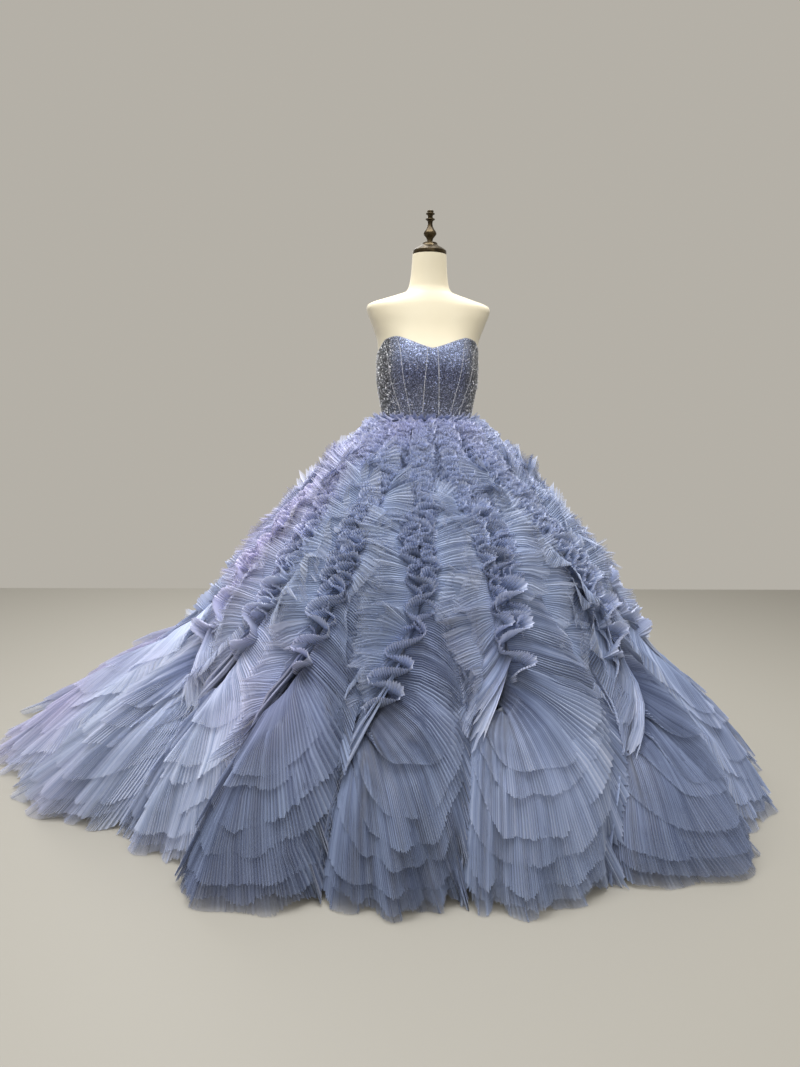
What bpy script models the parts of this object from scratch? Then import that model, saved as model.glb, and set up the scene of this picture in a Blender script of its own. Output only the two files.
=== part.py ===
# Strapless ball gown with a ruffled skirt and a train, standing on a limbless dress form.
#
# Metres, +Z up. The floor is z = 0, the form's axis is the Z axis and its front faces -Y.
# An azimuth is measured from the front, positive towards +X, so 90 is +X and 180 is the back.
import math

import bmesh
import bpy
import numpy as np

# Driving sizes

CLOTH = 0.002            # wall of every cloth piece
SEAM = 0.0003            # air between two pieces that meet
FORM_EASE = 0.0024       # air between the form and the bodice

FORM_HEIGHT = 1.680      # floor to the finial's tip
NECK_TOP = 1.551
TORSO_BOTTOM = 0.800
WAIST_HEIGHT = 1.066     # the waist seam
POLE_RADIUS = 0.016
BASE_RADIUS = 0.170
BASE_THICKNESS = 0.018

FRILL_HEIGHT = 0.050     # how far a cascade's middle frill stands off it
FRILL_WAVES = 4
FRILL_SWING = 0.20       # how far it meanders, as a share of the wing's half width
FRILL_FLARE = 1.45       # its free edge swings wider than its sewn edge
FRILL_TOP = 0.05         # where it starts, as a share of the way down
FRILL_STEP = 0.02
FRILL_SWEEP = (0.46, 0.24)   # where its lower end starts to sweep aside, and over how much of the way
FRILL_LIFT = 0.0012          # more air under that end, as it crosses the wing's facets aslant
SWAY_IN, SWAY_OUT = 0.55, (0.68, 0.32)   # a valley has swayed fully by here, and is back from there over so much
WAIST_RUFFLE_WAVES = 18
WAIST_RUFFLE_STEPS = 5   # points for each wave
WAIST_RUFFLE_REACH = 0.052
WAIST_RUFFLE_DROOP = 0.006
WAIST_RUFFLE_RIPPLE = 0.010
FOLDS_PER_FAN = 2.5
TORSO_SEGMENTS = 32
GORE_STEPS = 3           # columns of the foundation under each cascade

# Dress form: height, half width, front depth, back depth, squareness of the section
TORSO = [
    (TORSO_BOTTOM, 0.158, 0.108, 0.114, 2.2),
    (0.830, 0.166, 0.115, 0.121, 2.2),
    (0.880, 0.167, 0.118, 0.122, 2.2),
    (0.940, 0.155, 0.112, 0.111, 2.2),
    (1.000, 0.137, 0.104, 0.096, 2.2),
    (1.050, 0.1275, 0.099, 0.088, 2.2),
    (1.090, 0.1300, 0.101, 0.089, 2.2),
    (1.140, 0.1390, 0.106, 0.094, 2.2),
    (1.185, 0.1465, 0.111, 0.099, 2.2),
    (1.220, 0.1470, 0.113, 0.100, 2.2),
    (1.260, 0.1460, 0.110, 0.097, 2.2),
    (1.300, 0.1510, 0.101, 0.090, 2.3),
    (1.340, 0.1650, 0.091, 0.082, 2.4),
    (1.375, 0.1785, 0.083, 0.076, 2.5),
    (1.392, 0.1830, 0.079, 0.073, 2.5),
    (1.400, 0.1805, 0.077, 0.072, 2.5),
    (1.408, 0.1690, 0.075, 0.070, 2.4),
    (1.420, 0.1330, 0.071, 0.067, 2.3),
    (1.432, 0.0960, 0.066, 0.063, 2.2),
    (1.443, 0.0680, 0.061, 0.058, 2.1),
    (1.460, 0.0590, 0.056, 0.054, 2.0),
    (1.500, 0.0530, 0.052, 0.051, 2.0),
    (NECK_TOP, 0.0500, 0.050, 0.050, 2.0),
]
BUST = {"height": 1.235, "aside": 0.070, "spread": 0.060, "proud": 0.014}

# Bodice top edge: azimuth on the form's section, height
BODICE_TOP = [(0, 1.272), (14, 1.279), (38, 1.304), (55, 1.297), (75, 1.272), (100, 1.254), (135, 1.244), (180, 1.240)]

# Bodice seams: name of the panel that ends there, section azimuth at the top edge, at the waist
BODICE_SEAMS = [
    ("centre_front", 4.5, 9.0),
    ("front", 38.0, 23.0),
    ("side_front", 60.0, 36.0),
    ("side", 112.0, 108.0),
    ("back", 180.0, 180.0),
]

# Skirt foundation: height, how far it has spread from the waist on the bell, and along the train
SKIRT = [
    (WAIST_HEIGHT, 0.000, 0.000),
    (1.020, 0.024, 0.024),
    (0.940, 0.074, 0.074),
    (0.840, 0.150, 0.150),
    (0.740, 0.228, 0.232),
    (0.630, 0.300, 0.322),
    (0.500, 0.372, 0.438),
    (0.365, 0.446, 0.596),
    (0.240, 0.532, 0.800),
    (0.120, 0.620, 1.060),
    (0.000, 0.690, 1.370),
]

# How much of the train each side has: azimuth, share
TRAIN_SHARE = [
    (0, 0.00), (22, 0.00), (45, 0.08), (65, 0.08), (84, 0.13), (101, 0.26), (117, 0.52), (133, 0.84),
    (155, 0.97), (180, 1.00), (205, 1.00), (225, 0.98), (238, 0.92), (250, 0.76), (262, 0.53), (275, 0.39),
    (288, 0.16), (300, 0.06), (314, 0.03), (330, 0.07), (345, 0.02),
]

# Cascades: azimuth of the valley on each one's left at the waist and the hem, how far that valley sways to the
# right between them, in degrees, how much the fan swells at the hem, how far its middle drifts to one side on
# the way down and how far its frill's lower end sweeps aside, both as a share of its half width, and the air
# between its frill and its facets
CASCADES = [
    (-88.0, 0.0, 0.030, -0.10, 0.30, 0.0015),
    (-64.0, 0.0, -0.020, -0.15, -0.35, 0.0009),
    (-42.0, 0.0, 0.055, -0.20, -0.40, 0.0007),
    (-22.0, 0.0, 0.015, 0.12, -0.55, 0.0011),
    (-0.5, 4.0, 0.030, -0.30, -0.25, 0.0011),
    (24.5, 18.0, 0.055, 0.20, -0.55, 0.0011),
    (53.5, 10.0, 0.030, 0.15, 0.30, 0.0011),
    (79.0, 3.0, 0.020, -0.10, 0.35, 0.0008),
    (101.0, 0.0, 0.010, 0.12, -0.30, 0.0011),
    (125.5, 0.0, 0.030, -0.15, 0.30, 0.0008),
    (150.0, 0.0, 0.010, 0.10, -0.35, 0.0007),
    (174.5, 0.0, 0.030, -0.12, 0.30, 0.0006),
    (199.0, 0.0, 0.010, 0.15, -0.30, 0.0010),
    (223.5, 0.0, 0.030, -0.10, 0.35, 0.0011),
    (248.0, 0.0, 0.035, 0.12, -0.30, 0.0011),
]

# Height of the ruffles over the foundation: share of the way down, crest, valley, depth of the folds
RUFFLE = [
    (0.00, 0.020, 0.0008, 0.000),
    (0.06, 0.044, 0.0008, 0.000),
    (0.12, 0.056, 0.0008, 0.000),
    (0.26, 0.064, 0.0008, 0.000),
    (0.40, 0.068, 0.0008, 0.000),
    (0.54, 0.074, 0.0008, 0.004),
    (0.68, 0.086, 0.0190, 0.008),
    (0.80, 0.104, 0.0330, 0.012),
    (0.90, 0.124, 0.0400, 0.016),
    (1.00, 0.140, 0.0440, 0.018),
]

# Layers of a fan under the wing: name, where it is sewn on, its edge at the valley and at the crest,
# how deep it lies under the wing, air over a seam's at its sewn edge, columns of points for each cascade
HEM_TIERS = [
    ("hem_tier_upper", 0.69, 0.86, 0.945, 0.016, 0.0002, 10),
    ("hem_tier_lower", 0.84, 1.00, 1.000, 0.030, 0.0012, 6),
]
WING_EDGE = (0.72, 0.875)          # the wing's lower edge, at the valley and at the crest
WING_LEVELS = [0.035, 0.15, 0.33, 0.51, 0.69]
FOUNDATION_LEVELS = [0.0, 0.035, 0.09, 0.15, 0.33, 0.51, 0.69, 0.76, 0.84, 0.92, 1.0]
WING_COLUMNS = 10
PLATEAU = 0.20                     # the middle part of a wing is level, where the frill stands
VALLEY_AIR = 0.0018                # from the middle of a wing's edge to the middle of the valley

# Sides of the gown, by the cascades that they hold: name, first, last
SIDES = [("front", 2, 5), ("right", 6, 9), ("back", 10, 12), ("left", 13, 16)]

# Materials: colour, roughness, metallic
FINISHES = {
    "form_cloth": ((0.86, 0.80, 0.63), 0.85, 0.0),
    "bronze": ((0.13, 0.09, 0.06), 0.35, 0.8),
    "steel": ((0.55, 0.55, 0.56), 0.35, 0.9),
    "base_metal": ((0.12, 0.12, 0.13), 0.5, 0.6),
    "beaded_cloth": ((0.17, 0.20, 0.32), 0.45, 0.1),
    "net": ((0.30, 0.35, 0.55), 0.8, 0.0),
    "under_net": ((0.22, 0.26, 0.42), 0.85, 0.0),
    "zip_metal": ((0.60, 0.61, 0.64), 0.3, 0.9),
}


# Helpers for tables and points

def ease(x):
    """0 to 1 with level ends."""
    x = np.clip(x, 0.0, 1.0)
    return x * x * (3.0 - 2.0 * x)


def curve_through(rows, column):
    """A smooth function through two columns of a table, with no overshoot between its rows."""
    x = np.array([row[0] for row in rows], float)
    y = np.array([row[column] for row in rows], float)
    step = np.diff(x)
    slope = np.diff(y) / step
    tangent = np.zeros_like(y)
    same_way = slope[:-1] * slope[1:] > 0
    mean = np.zeros(len(slope) - 1)
    mean[same_way] = 2.0 / (1.0 / slope[:-1][same_way] + 1.0 / slope[1:][same_way])
    tangent[1:-1] = mean
    tangent[0] = slope[0]
    tangent[-1] = slope[-1]

    def value(at):
        at = np.clip(np.asarray(at, float), x[0], x[-1])
        i = np.clip(np.searchsorted(x, at, side="right") - 1, 0, len(step) - 1)
        t = (at - x[i]) / step[i]
        h = step[i]
        return (y[i] * (1 + 2 * t) * (1 - t) ** 2 + h * tangent[i] * t * (1 - t) ** 2
                + y[i + 1] * t * t * (3 - 2 * t) + h * tangent[i + 1] * t * t * (t - 1))

    return value


def round_curve(rows, column):
    """The same for a table of azimuths, going all the way round."""
    lead = [(row[0] - 360.0,) + tuple(row[1:]) for row in rows[-3:]]
    tail = [(row[0] + 360.0,) + tuple(row[1:]) for row in rows[:3]]
    inner = curve_through(lead + list(rows) + tail, column)
    return lambda azimuth: inner(np.mod(azimuth, 360.0))


def normals(grid, around=False):
    """Unit normals of a grid of points, rows running down and columns running to +azimuth."""
    if around:
        across = np.roll(grid, -1, axis=1) - np.roll(grid, 1, axis=1)
    else:
        across = np.gradient(grid, axis=1)
    down = np.gradient(grid, axis=0)
    normal = np.cross(down, across)
    return normal / np.linalg.norm(normal, axis=2, keepdims=True)


# The form's section and the foundation's surface

torso_width = curve_through(TORSO, 1)
torso_front = curve_through(TORSO, 2)
torso_back = curve_through(TORSO, 3)
torso_square = curve_through(TORSO, 4)
spread_bell = curve_through(sorted(SKIRT), 1)
spread_train = curve_through(sorted(SKIRT), 2)
train_share = round_curve(TRAIN_SHARE, 1)
crest_height = curve_through(RUFFLE, 1)
valley_height = curve_through(RUFFLE, 2)
fold_depth = curve_through(RUFFLE, 3)
bodice_top = curve_through(BODICE_TOP, 1)


def torso_point(azimuth, height):
    """A point of the form's surface: a superellipse at each height, with two soft bust mounds."""
    angle = np.radians(azimuth)
    power = 2.0 / torso_square(height)
    x = torso_width(height) * np.sign(np.sin(angle)) * np.abs(np.sin(angle)) ** power
    cosine = np.cos(angle)
    depth = np.where(cosine > 0, torso_front(height), torso_back(height))
    y = -depth * np.sign(cosine) * np.abs(cosine) ** power
    mound = np.zeros_like(x)
    for side in (-1.0, 1.0):
        far = (x - side * BUST["aside"]) ** 2 + (height - BUST["height"]) ** 2
        mound = mound + np.exp(-far / BUST["spread"] ** 2)
    y = y - BUST["proud"] * mound * ease(cosine * 3.0)
    return np.stack([x, y, height + 0.0 * x], axis=-1)


def waist_reach(azimuth):
    """How far the bodice's outer face is from the axis at the waist seam."""
    point = torso_point(azimuth, np.full(np.shape(azimuth), WAIST_HEIGHT))
    return np.hypot(point[..., 0], point[..., 1]) + FORM_EASE + CLOTH


# Way down the skirt: equal steps of it are equal lengths along the front of the bell
FINE_HEIGHTS = np.linspace(WAIST_HEIGHT, 0.0, 400)
FINE_LENGTH = np.concatenate([[0.0], np.cumsum(np.hypot(np.diff(FINE_HEIGHTS), np.diff(spread_bell(FINE_HEIGHTS))))])
FINE_SHARE = FINE_LENGTH / FINE_LENGTH[-1]


def height_at(down):
    return np.interp(down, FINE_SHARE, FINE_HEIGHTS)


def foundation_point(azimuth, down):
    """A point of the foundation's outer face. down is 0 at the waist seam and 1 on the floor."""
    height = height_at(down)
    share = train_share(azimuth)
    spread = spread_bell(height) * (1.0 - share) + spread_train(height) * share
    reach = waist_reach(azimuth) + spread
    angle = np.radians(azimuth)
    return np.stack([reach * np.sin(angle), -reach * np.cos(angle), height], axis=-1)


def outward(azimuth, down):
    """The way out of the skirt: square to it, and turning level towards the floor."""
    step_round, step_down = 0.5, 0.004
    low = np.clip(down + step_down, 0.0, 1.0)
    high = np.clip(down - step_down, 0.0, 1.0)
    across = foundation_point(azimuth + step_round, down) - foundation_point(azimuth - step_round, down)
    along = foundation_point(azimuth, low) - foundation_point(azimuth, high)
    normal = np.cross(along, across)
    normal /= np.linalg.norm(normal, axis=-1, keepdims=True)
    level = normal * np.array([1.0, 1.0, 0.0])
    level /= np.linalg.norm(level, axis=-1, keepdims=True)
    weight = ease((down - 0.70) / 0.30)[..., None]
    mixed = normal * (1.0 - weight) + level * weight
    return mixed / np.linalg.norm(mixed, axis=-1, keepdims=True)


def skirt_point(azimuth, down, proud):
    """A point that stands proud of the foundation by so many metres."""
    return foundation_point(azimuth, down) + outward(azimuth, down) * np.asarray(proud)[..., None]


# Solids from grids

def finish_for(name, finish):
    """A piece's own material."""
    colour, roughness, metallic = FINISHES[finish]
    material = bpy.data.materials.new(name + "_finish")
    material.use_nodes = True
    shader = material.node_tree.nodes["Principled BSDF"]
    shader.inputs["Base Color"].default_value = (*colour, 1.0)
    shader.inputs["Roughness"].default_value = roughness
    shader.inputs["Metallic"].default_value = metallic
    material.diffuse_color = (*colour, 1.0)
    return material


def add_object(name, mesh, finish):
    """Put a mesh into the gown's collection under its node's name."""
    part = bpy.data.objects.new(name, mesh)
    GOWN.objects.link(part)
    mesh.materials.append(finish_for(name, finish))
    return part


def mesh_from(name, points, faces, smooth=True):
    mesh = bpy.data.meshes.new(name)
    mesh.from_pydata([tuple(map(float, point)) for point in points], [], faces)
    cleaner = bmesh.new()
    cleaner.from_mesh(mesh)
    bmesh.ops.recalc_face_normals(cleaner, faces=cleaner.faces)
    if cleaner.calc_volume(signed=True) < 0:
        bmesh.ops.reverse_faces(cleaner, faces=cleaner.faces)
    cleaner.to_mesh(mesh)
    cleaner.free()
    if smooth:
        mesh.shade_smooth()
        mesh.set_sharp_from_angle(angle=math.radians(50))
    return mesh


def add_wall(name, grid, finish, around=False, on_floor=False):
    """A closed cloth wall of even thickness whose middle surface is a grid of points."""
    rows, columns = grid.shape[:2]
    half = normals(grid, around) * CLOTH / 2.0
    outer = grid + half
    inner = grid - half
    if on_floor:
        outer[-1, :, 2] = 0.0
        inner[-1, :, 2] = 0.0
    points = np.concatenate([outer.reshape(-1, 3), inner.reshape(-1, 3)])
    back = rows * columns

    def at(row, column):
        return row * columns + column % columns

    last = columns if around else columns - 1
    faces = []
    for row in range(rows - 1):
        for column in range(last):
            quad = [at(row, column), at(row + 1, column), at(row + 1, column + 1), at(row, column + 1)]
            for half_quad in (quad[:3], [quad[0]] + quad[2:]):
                faces.append(half_quad)
                faces.append([back + index for index in reversed(half_quad)])
    for column in range(last):
        for row, flip in ((0, False), (rows - 1, True)):
            rim = [at(row, column), at(row, column + 1), back + at(row, column + 1), back + at(row, column)]
            faces.append(rim[::-1] if flip else rim)
    if not around:
        for row in range(rows - 1):
            for column, flip in ((0, True), (columns - 1, False)):
                rim = [at(row, column), at(row + 1, column), back + at(row + 1, column), back + at(row, column)]
                faces.append(rim if flip else rim[::-1])
    return add_object(name, mesh_from(name, points, faces), finish)


def add_turned(name, profile, finish, segments=24):
    """A turned solid: a profile of (radius, height) rows from top to bottom, with a Screw modifier."""
    mesh = bpy.data.meshes.new(name)
    points = [(radius, 0.0, height) for radius, height in profile]
    mesh.from_pydata(points, [(i, i + 1) for i in range(len(points) - 1)], [])
    part = add_object(name, mesh, finish)
    screw = part.modifiers.new("Turn", "SCREW")
    screw.axis = "Z"
    screw.steps = segments
    screw.render_steps = segments
    screw.use_merge_vertices = True
    screw.merge_threshold = 0.00005
    screw.use_smooth_shade = True
    return part


# The dress form

def build_torso():
    """A loft through the form's sections, closed by a flat face at the neck and one at the bottom."""
    levels = [row[0] for row in TORSO]
    segments = TORSO_SEGMENTS
    azimuths = np.arange(segments) * 360.0 / segments
    rings = np.stack([torso_point(azimuths, np.full(segments, level)) for level in levels])
    points = rings.reshape(-1, 3)
    faces = []
    for ring in range(len(levels) - 1):
        for i in range(segments):
            j = (i + 1) % segments
            faces.append([ring * segments + i, ring * segments + j, (ring + 1) * segments + j, (ring + 1) * segments + i])
    faces.append(list(range(segments)))
    faces.append([(len(levels) - 1) * segments + i for i in range(segments)])
    add_object("form_torso", mesh_from("form_torso", points, faces), "form_cloth")


def build_stand():
    """The turned cap and finial, the pole and the base."""
    cap_bottom = NECK_TOP + SEAM
    finial = [
        (0.0, FORM_HEIGHT), (0.009, FORM_HEIGHT - 0.004), (0.013, FORM_HEIGHT - 0.012), (0.008, FORM_HEIGHT - 0.019),
        (0.014, FORM_HEIGHT - 0.027), (0.009, FORM_HEIGHT - 0.038), (0.010, FORM_HEIGHT - 0.052),
        (0.019, FORM_HEIGHT - 0.066), (0.019, FORM_HEIGHT - 0.076), (0.010, FORM_HEIGHT - 0.090),
        (0.012, FORM_HEIGHT - 0.100), (0.030, FORM_HEIGHT - 0.107), (0.046, cap_bottom + 0.014),
        (0.0495, cap_bottom + 0.009), (0.0495, cap_bottom), (0.0, cap_bottom),
    ]
    add_turned("form_finial", finial, "bronze", 16)
    pole_top = TORSO_BOTTOM - SEAM
    pole_low = BASE_THICKNESS + 0.014 + SEAM
    pole = [(0.0, pole_top), (0.030, pole_top), (0.030, pole_top - 0.006), (POLE_RADIUS, pole_top - 0.012),
            (POLE_RADIUS, pole_low), (0.0, pole_low)]
    add_turned("form_pole", pole, "steel", 12)
    base = [(0.0, BASE_THICKNESS + 0.014), (0.034, BASE_THICKNESS + 0.014), (0.040, BASE_THICKNESS + 0.004),
            (BASE_RADIUS - 0.012, BASE_THICKNESS), (BASE_RADIUS, BASE_THICKNESS - 0.008), (BASE_RADIUS, 0.0), (0.0, 0.0)]
    add_turned("form_base", base, "base_metal", 24)


# The bodice

def bodice_grid(first, last, rows=7, columns=3):
    """Middle surface of a panel. first and last are (azimuth at the top, azimuth at the waist)."""
    across = np.linspace(0.0, 1.0, columns)[None, :]
    down = np.linspace(0.0, 1.0, rows)[:, None]
    left = first[0] + (first[1] - first[0]) * down
    right = last[0] + (last[1] - last[0]) * down
    azimuth = left + (right - left) * across
    edge = bodice_top(np.abs(first[0] + (last[0] - first[0]) * across))
    low = WAIST_HEIGHT + SEAM
    height = edge + (low - edge) * down
    surface = torso_point(azimuth, height)
    return surface + normals(surface) * (FORM_EASE + CLOTH / 2.0)


def seam_back(seam, reach=0.14):
    """A seam's azimuths pulled back by half the seam's air."""
    turn = math.degrees(SEAM / 2.0 / reach)
    return (seam[0] - turn, seam[1] - turn), (seam[0] + turn, seam[1] + turn)


def build_bodice():
    """Nine panels: the centre front, and four on each side, mirrored by the sign of their azimuths."""
    before, after = seam_back(BODICE_SEAMS[0][1:])
    add_wall("bodice_centre_front", bodice_grid((-before[0], -before[1]), before), "beaded_cloth")
    for name, top, waist in BODICE_SEAMS[1:]:
        before, following = seam_back((top, waist))
        columns = {"front": 5, "side_front": 3, "side": 5, "back": 7}[name]
        add_wall(f"bodice_{name}_right", bodice_grid(after, before, columns=columns), "beaded_cloth")
        mirrored = bodice_grid((-before[0], -before[1]), (-after[0], -after[1]), columns=columns)
        add_wall(f"bodice_{name}_left", mirrored, "beaded_cloth")
        after = following


# The skirt

def cascade_span(number, down):
    """Azimuths of the valleys on a cascade's two sides, which sway between the waist and the hem."""
    following = (number + 1) % len(CASCADES)
    lap = 0.0 if following else 360.0
    swaying = ease(down / SWAY_IN) * (1.0 - ease((down - SWAY_OUT[0]) / SWAY_OUT[1]))
    left = CASCADES[number][0] + CASCADES[number][1] * swaying
    right = CASCADES[following][0] + lap + CASCADES[following][1] * swaying
    return left, right


def azimuth_on(number, across, down):
    """Azimuth of a place on a cascade, whose middle drifts while its valleys stay."""
    left, right = cascade_span(number, down)
    drift = CASCADES[number][3] * ease(down / 0.8) * (1.0 - across ** 2)
    return (left + right) / 2.0 + (right - left) / 2.0 * (across + drift)


def turn_for(air, azimuth, down):
    """The degrees that a gap takes at one place on the foundation."""
    return np.degrees(air / np.linalg.norm(foundation_point(azimuth, down)[..., :2], axis=-1))


def valley_margin(number, down):
    """The air at a wing's edge as a share of the wing's half width."""
    left, right = cascade_span(number, down)
    return turn_for(VALLEY_AIR, left, down) / ((right - left) / 2.0)


def swell(across):
    """Rise of a wing from valley (-1 or 1) to its level middle."""
    edge = np.clip((np.abs(across) - PLATEAU) / (1.0 - PLATEAU), 0.0, 1.0)
    return (1.0 - edge ** 2) ** 0.8


def ruffle_height(number, across, down, sunk=0.0, folded=True):
    """Height of a cascade's cloth over the foundation. across runs from -1 to 1 between its valleys."""
    fan = CASCADES[number][2] * ease((down - 0.55) / 0.45)
    crest = crest_height(down) + fan
    valley = valley_height(down)
    rise = swell(across)
    folds = fold_depth(down) * np.cos(FOLDS_PER_FAN * math.pi * across) * rise
    if not folded:
        folds = -fold_depth(down) * rise
    return valley + (crest - valley) * rise + folds - sunk


def cascade_grid(number, across, down, margin, sunk=0.0, folded=True, seat=None, air=0.0):
    """Points of a cascade's layer. seat is where it is sewn on, and it eases off the foundation there.

    margin is how much of its half width it leaves free at the valley.
    """
    proud = ruffle_height(number, across, down, sunk, folded)
    if seat is not None:
        lying = CLOTH / 2.0 + air
        proud = lying + (proud - lying) * ease((down - seat) / 0.10)
        proud = np.maximum(proud, CLOTH / 2.0 + SEAM)
    return skirt_point(azimuth_on(number, across * (1.0 - margin), down), down, proud)


def wing_grid(number):
    """A wing's middle surface, from under the waist ruffle to its own curved lower edge."""
    across = np.linspace(-1.0, 1.0, WING_COLUMNS + 1)
    edge = WING_EDGE[0] + (WING_EDGE[1] - WING_EDGE[0]) * swell(across)
    last_level = WING_LEVELS[-1]
    rows = [np.full_like(across, level) for level in WING_LEVELS]
    rows.append(last_level + (edge - last_level) * 0.5)
    rows.append(edge)
    down = np.stack(rows)
    return across, cascade_grid(number, across[None, :] + 0.0 * down, down, valley_margin(number, down))


def point_on(grid, across_lines, across, down):
    """A point and its way out on a wing's own facets, by the two lines on each side of it."""
    column = np.clip(np.searchsorted(across_lines, across, side="right") - 1, 0, len(across_lines) - 2)
    part = (across - across_lines[column]) / (across_lines[column + 1] - across_lines[column])
    levels = np.array(WING_LEVELS)
    row = np.clip(np.searchsorted(levels, down, side="right") - 1, 0, len(levels) - 2)
    share = (down - levels[row]) / (levels[row + 1] - levels[row])
    part, share = part[:, None], share[:, None]
    corner, far = grid[row, column], grid[row + 1, column + 1]
    beside, below = grid[row, column + 1], grid[row + 1, column]
    on_upper = corner + (beside - corner) * part + (far - beside) * share
    on_lower = corner + (below - corner) * share + (far - below) * part
    return np.where(part > share, on_upper, on_lower)


def build_cascade(number):
    """One wing and the frill that meanders down its middle."""
    label = f"{number + 1:02d}"
    lines, grid = wing_grid(number)
    add_wall(f"wing_{label}", grid, "net")

    down = np.arange(FRILL_TOP, WING_LEVELS[-1] + FRILL_STEP / 2.0, FRILL_STEP)
    phase = (down - down[0]) / (down[-1] - down[0]) * FRILL_WAVES * 2.0 * math.pi
    flip = -1.0 if number % 2 else 1.0
    swing = flip * FRILL_SWING * np.sin(phase) * ease((down - 0.02) / 0.08)
    sweep = CASCADES[number][4] * ease((down - FRILL_SWEEP[0]) / FRILL_SWEEP[1])
    side = sweep + swing
    root = point_on(grid, lines, side, down)
    way_out = outward(azimuth_on(number, side, down), down)
    tip_side = sweep + FRILL_FLARE * swing
    tip_down = down + 0.012 * np.cos(phase) + 0.006
    tip_base = point_on(grid, lines, tip_side, np.minimum(tip_down, WING_LEVELS[-1]))
    rise = FRILL_HEIGHT * (0.55 + 0.45 * ease((down - FRILL_TOP) / 0.3))[:, None]
    lift = FRILL_LIFT * ease((down - FRILL_SWEEP[0] + 0.10) / 0.10)
    foot = (CLOTH / 2.0 + CASCADES[number][5] + lift)[:, None]
    frill = np.stack([tip_base + way_out * (rise + foot), root + way_out * foot])
    add_wall(f"frill_{label}", frill, "net")


def build_hem_tiers():
    """The ruffles under the fans, one wall for each side of the gown."""
    for name, seat, valley_edge, crest_edge, sunk, air, steps in HEM_TIERS:
        for side, first, last in SIDES:
            pieces = []
            for number in range(first, last + 1):
                cascade = number % len(CASCADES)
                across = np.linspace(-1.0, 1.0, steps + 1)
                if number > first:
                    across = across[1:]
                edge = valley_edge + (crest_edge - valley_edge) * swell(across)
                down = seat + (edge - seat) * np.array([0.0, 0.45, 1.0])[:, None]
                across = across[None, :] + 0.0 * down
                margin = np.zeros_like(down)
                if number == first:
                    margin[:, 0] = valley_margin(cascade, down[:, 0])
                if number == last:
                    margin[:, -1] = valley_margin(cascade, down[:, -1])
                folded = name == "hem_tier_upper"
                pieces.append(cascade_grid(cascade, across, down, margin, sunk, folded, seat, air))
            add_wall(f"{name}_{side}", np.concatenate(pieces, axis=1), "net", on_floor=crest_edge == 1.0)


def build_foundation():
    """Four gores of the plain bell, whose lines of points lie under the valleys."""
    for side, first, last in SIDES:
        levels = np.array(FOUNDATION_LEVELS)
        lines = []
        for number in range(first, last + 1):
            left, right = cascade_span(number % len(CASCADES), levels)
            lap = 360.0 if number >= len(CASCADES) else 0.0
            lines.extend(left + lap + (right - left) * step / GORE_STEPS for step in range(GORE_STEPS))
        lines.append(right + lap)
        lines[0] = lines[0] + turn_for(SEAM / 2.0, lines[0], levels)
        lines[-1] = lines[-1] - turn_for(SEAM / 2.0, lines[-1], levels)
        azimuth = np.stack(lines, axis=1)
        down = levels[:, None] + 0.0 * azimuth
        grid = skirt_point(azimuth, down, np.full(down.shape, -CLOTH / 2.0 - SEAM))
        grid[0, :, 2] -= SEAM
        add_wall(f"foundation_{side}", grid, "under_net", on_floor=True)


def build_waist_ruffle():
    """The frill that is sewn into the waist seam and stands out over the skirt's top."""
    count = WAIST_RUFFLE_WAVES * WAIST_RUFFLE_STEPS
    azimuths = np.arange(count) * 360.0 / count
    wave = np.cos(np.radians(azimuths) * WAIST_RUFFLE_WAVES)
    rows = []
    for share in (1.0, 0.0):
        proud = CLOTH / 2.0 + SEAM + WAIST_RUFFLE_REACH * share * (1.0 + 0.12 * wave * share)
        down = np.full(count, 0.004)
        point = foundation_point(azimuths, down)
        level = point * np.array([1.0, 1.0, 0.0])
        level /= np.linalg.norm(level, axis=1, keepdims=True)
        point = point + level * proud[:, None]
        point[:, 2] += (WAIST_RUFFLE_RIPPLE * wave - WAIST_RUFFLE_DROOP) * share
        rows.append(point)
    add_wall("waist_ruffle", np.stack(rows), "net", around=True)


# The zip at the centre back

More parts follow.
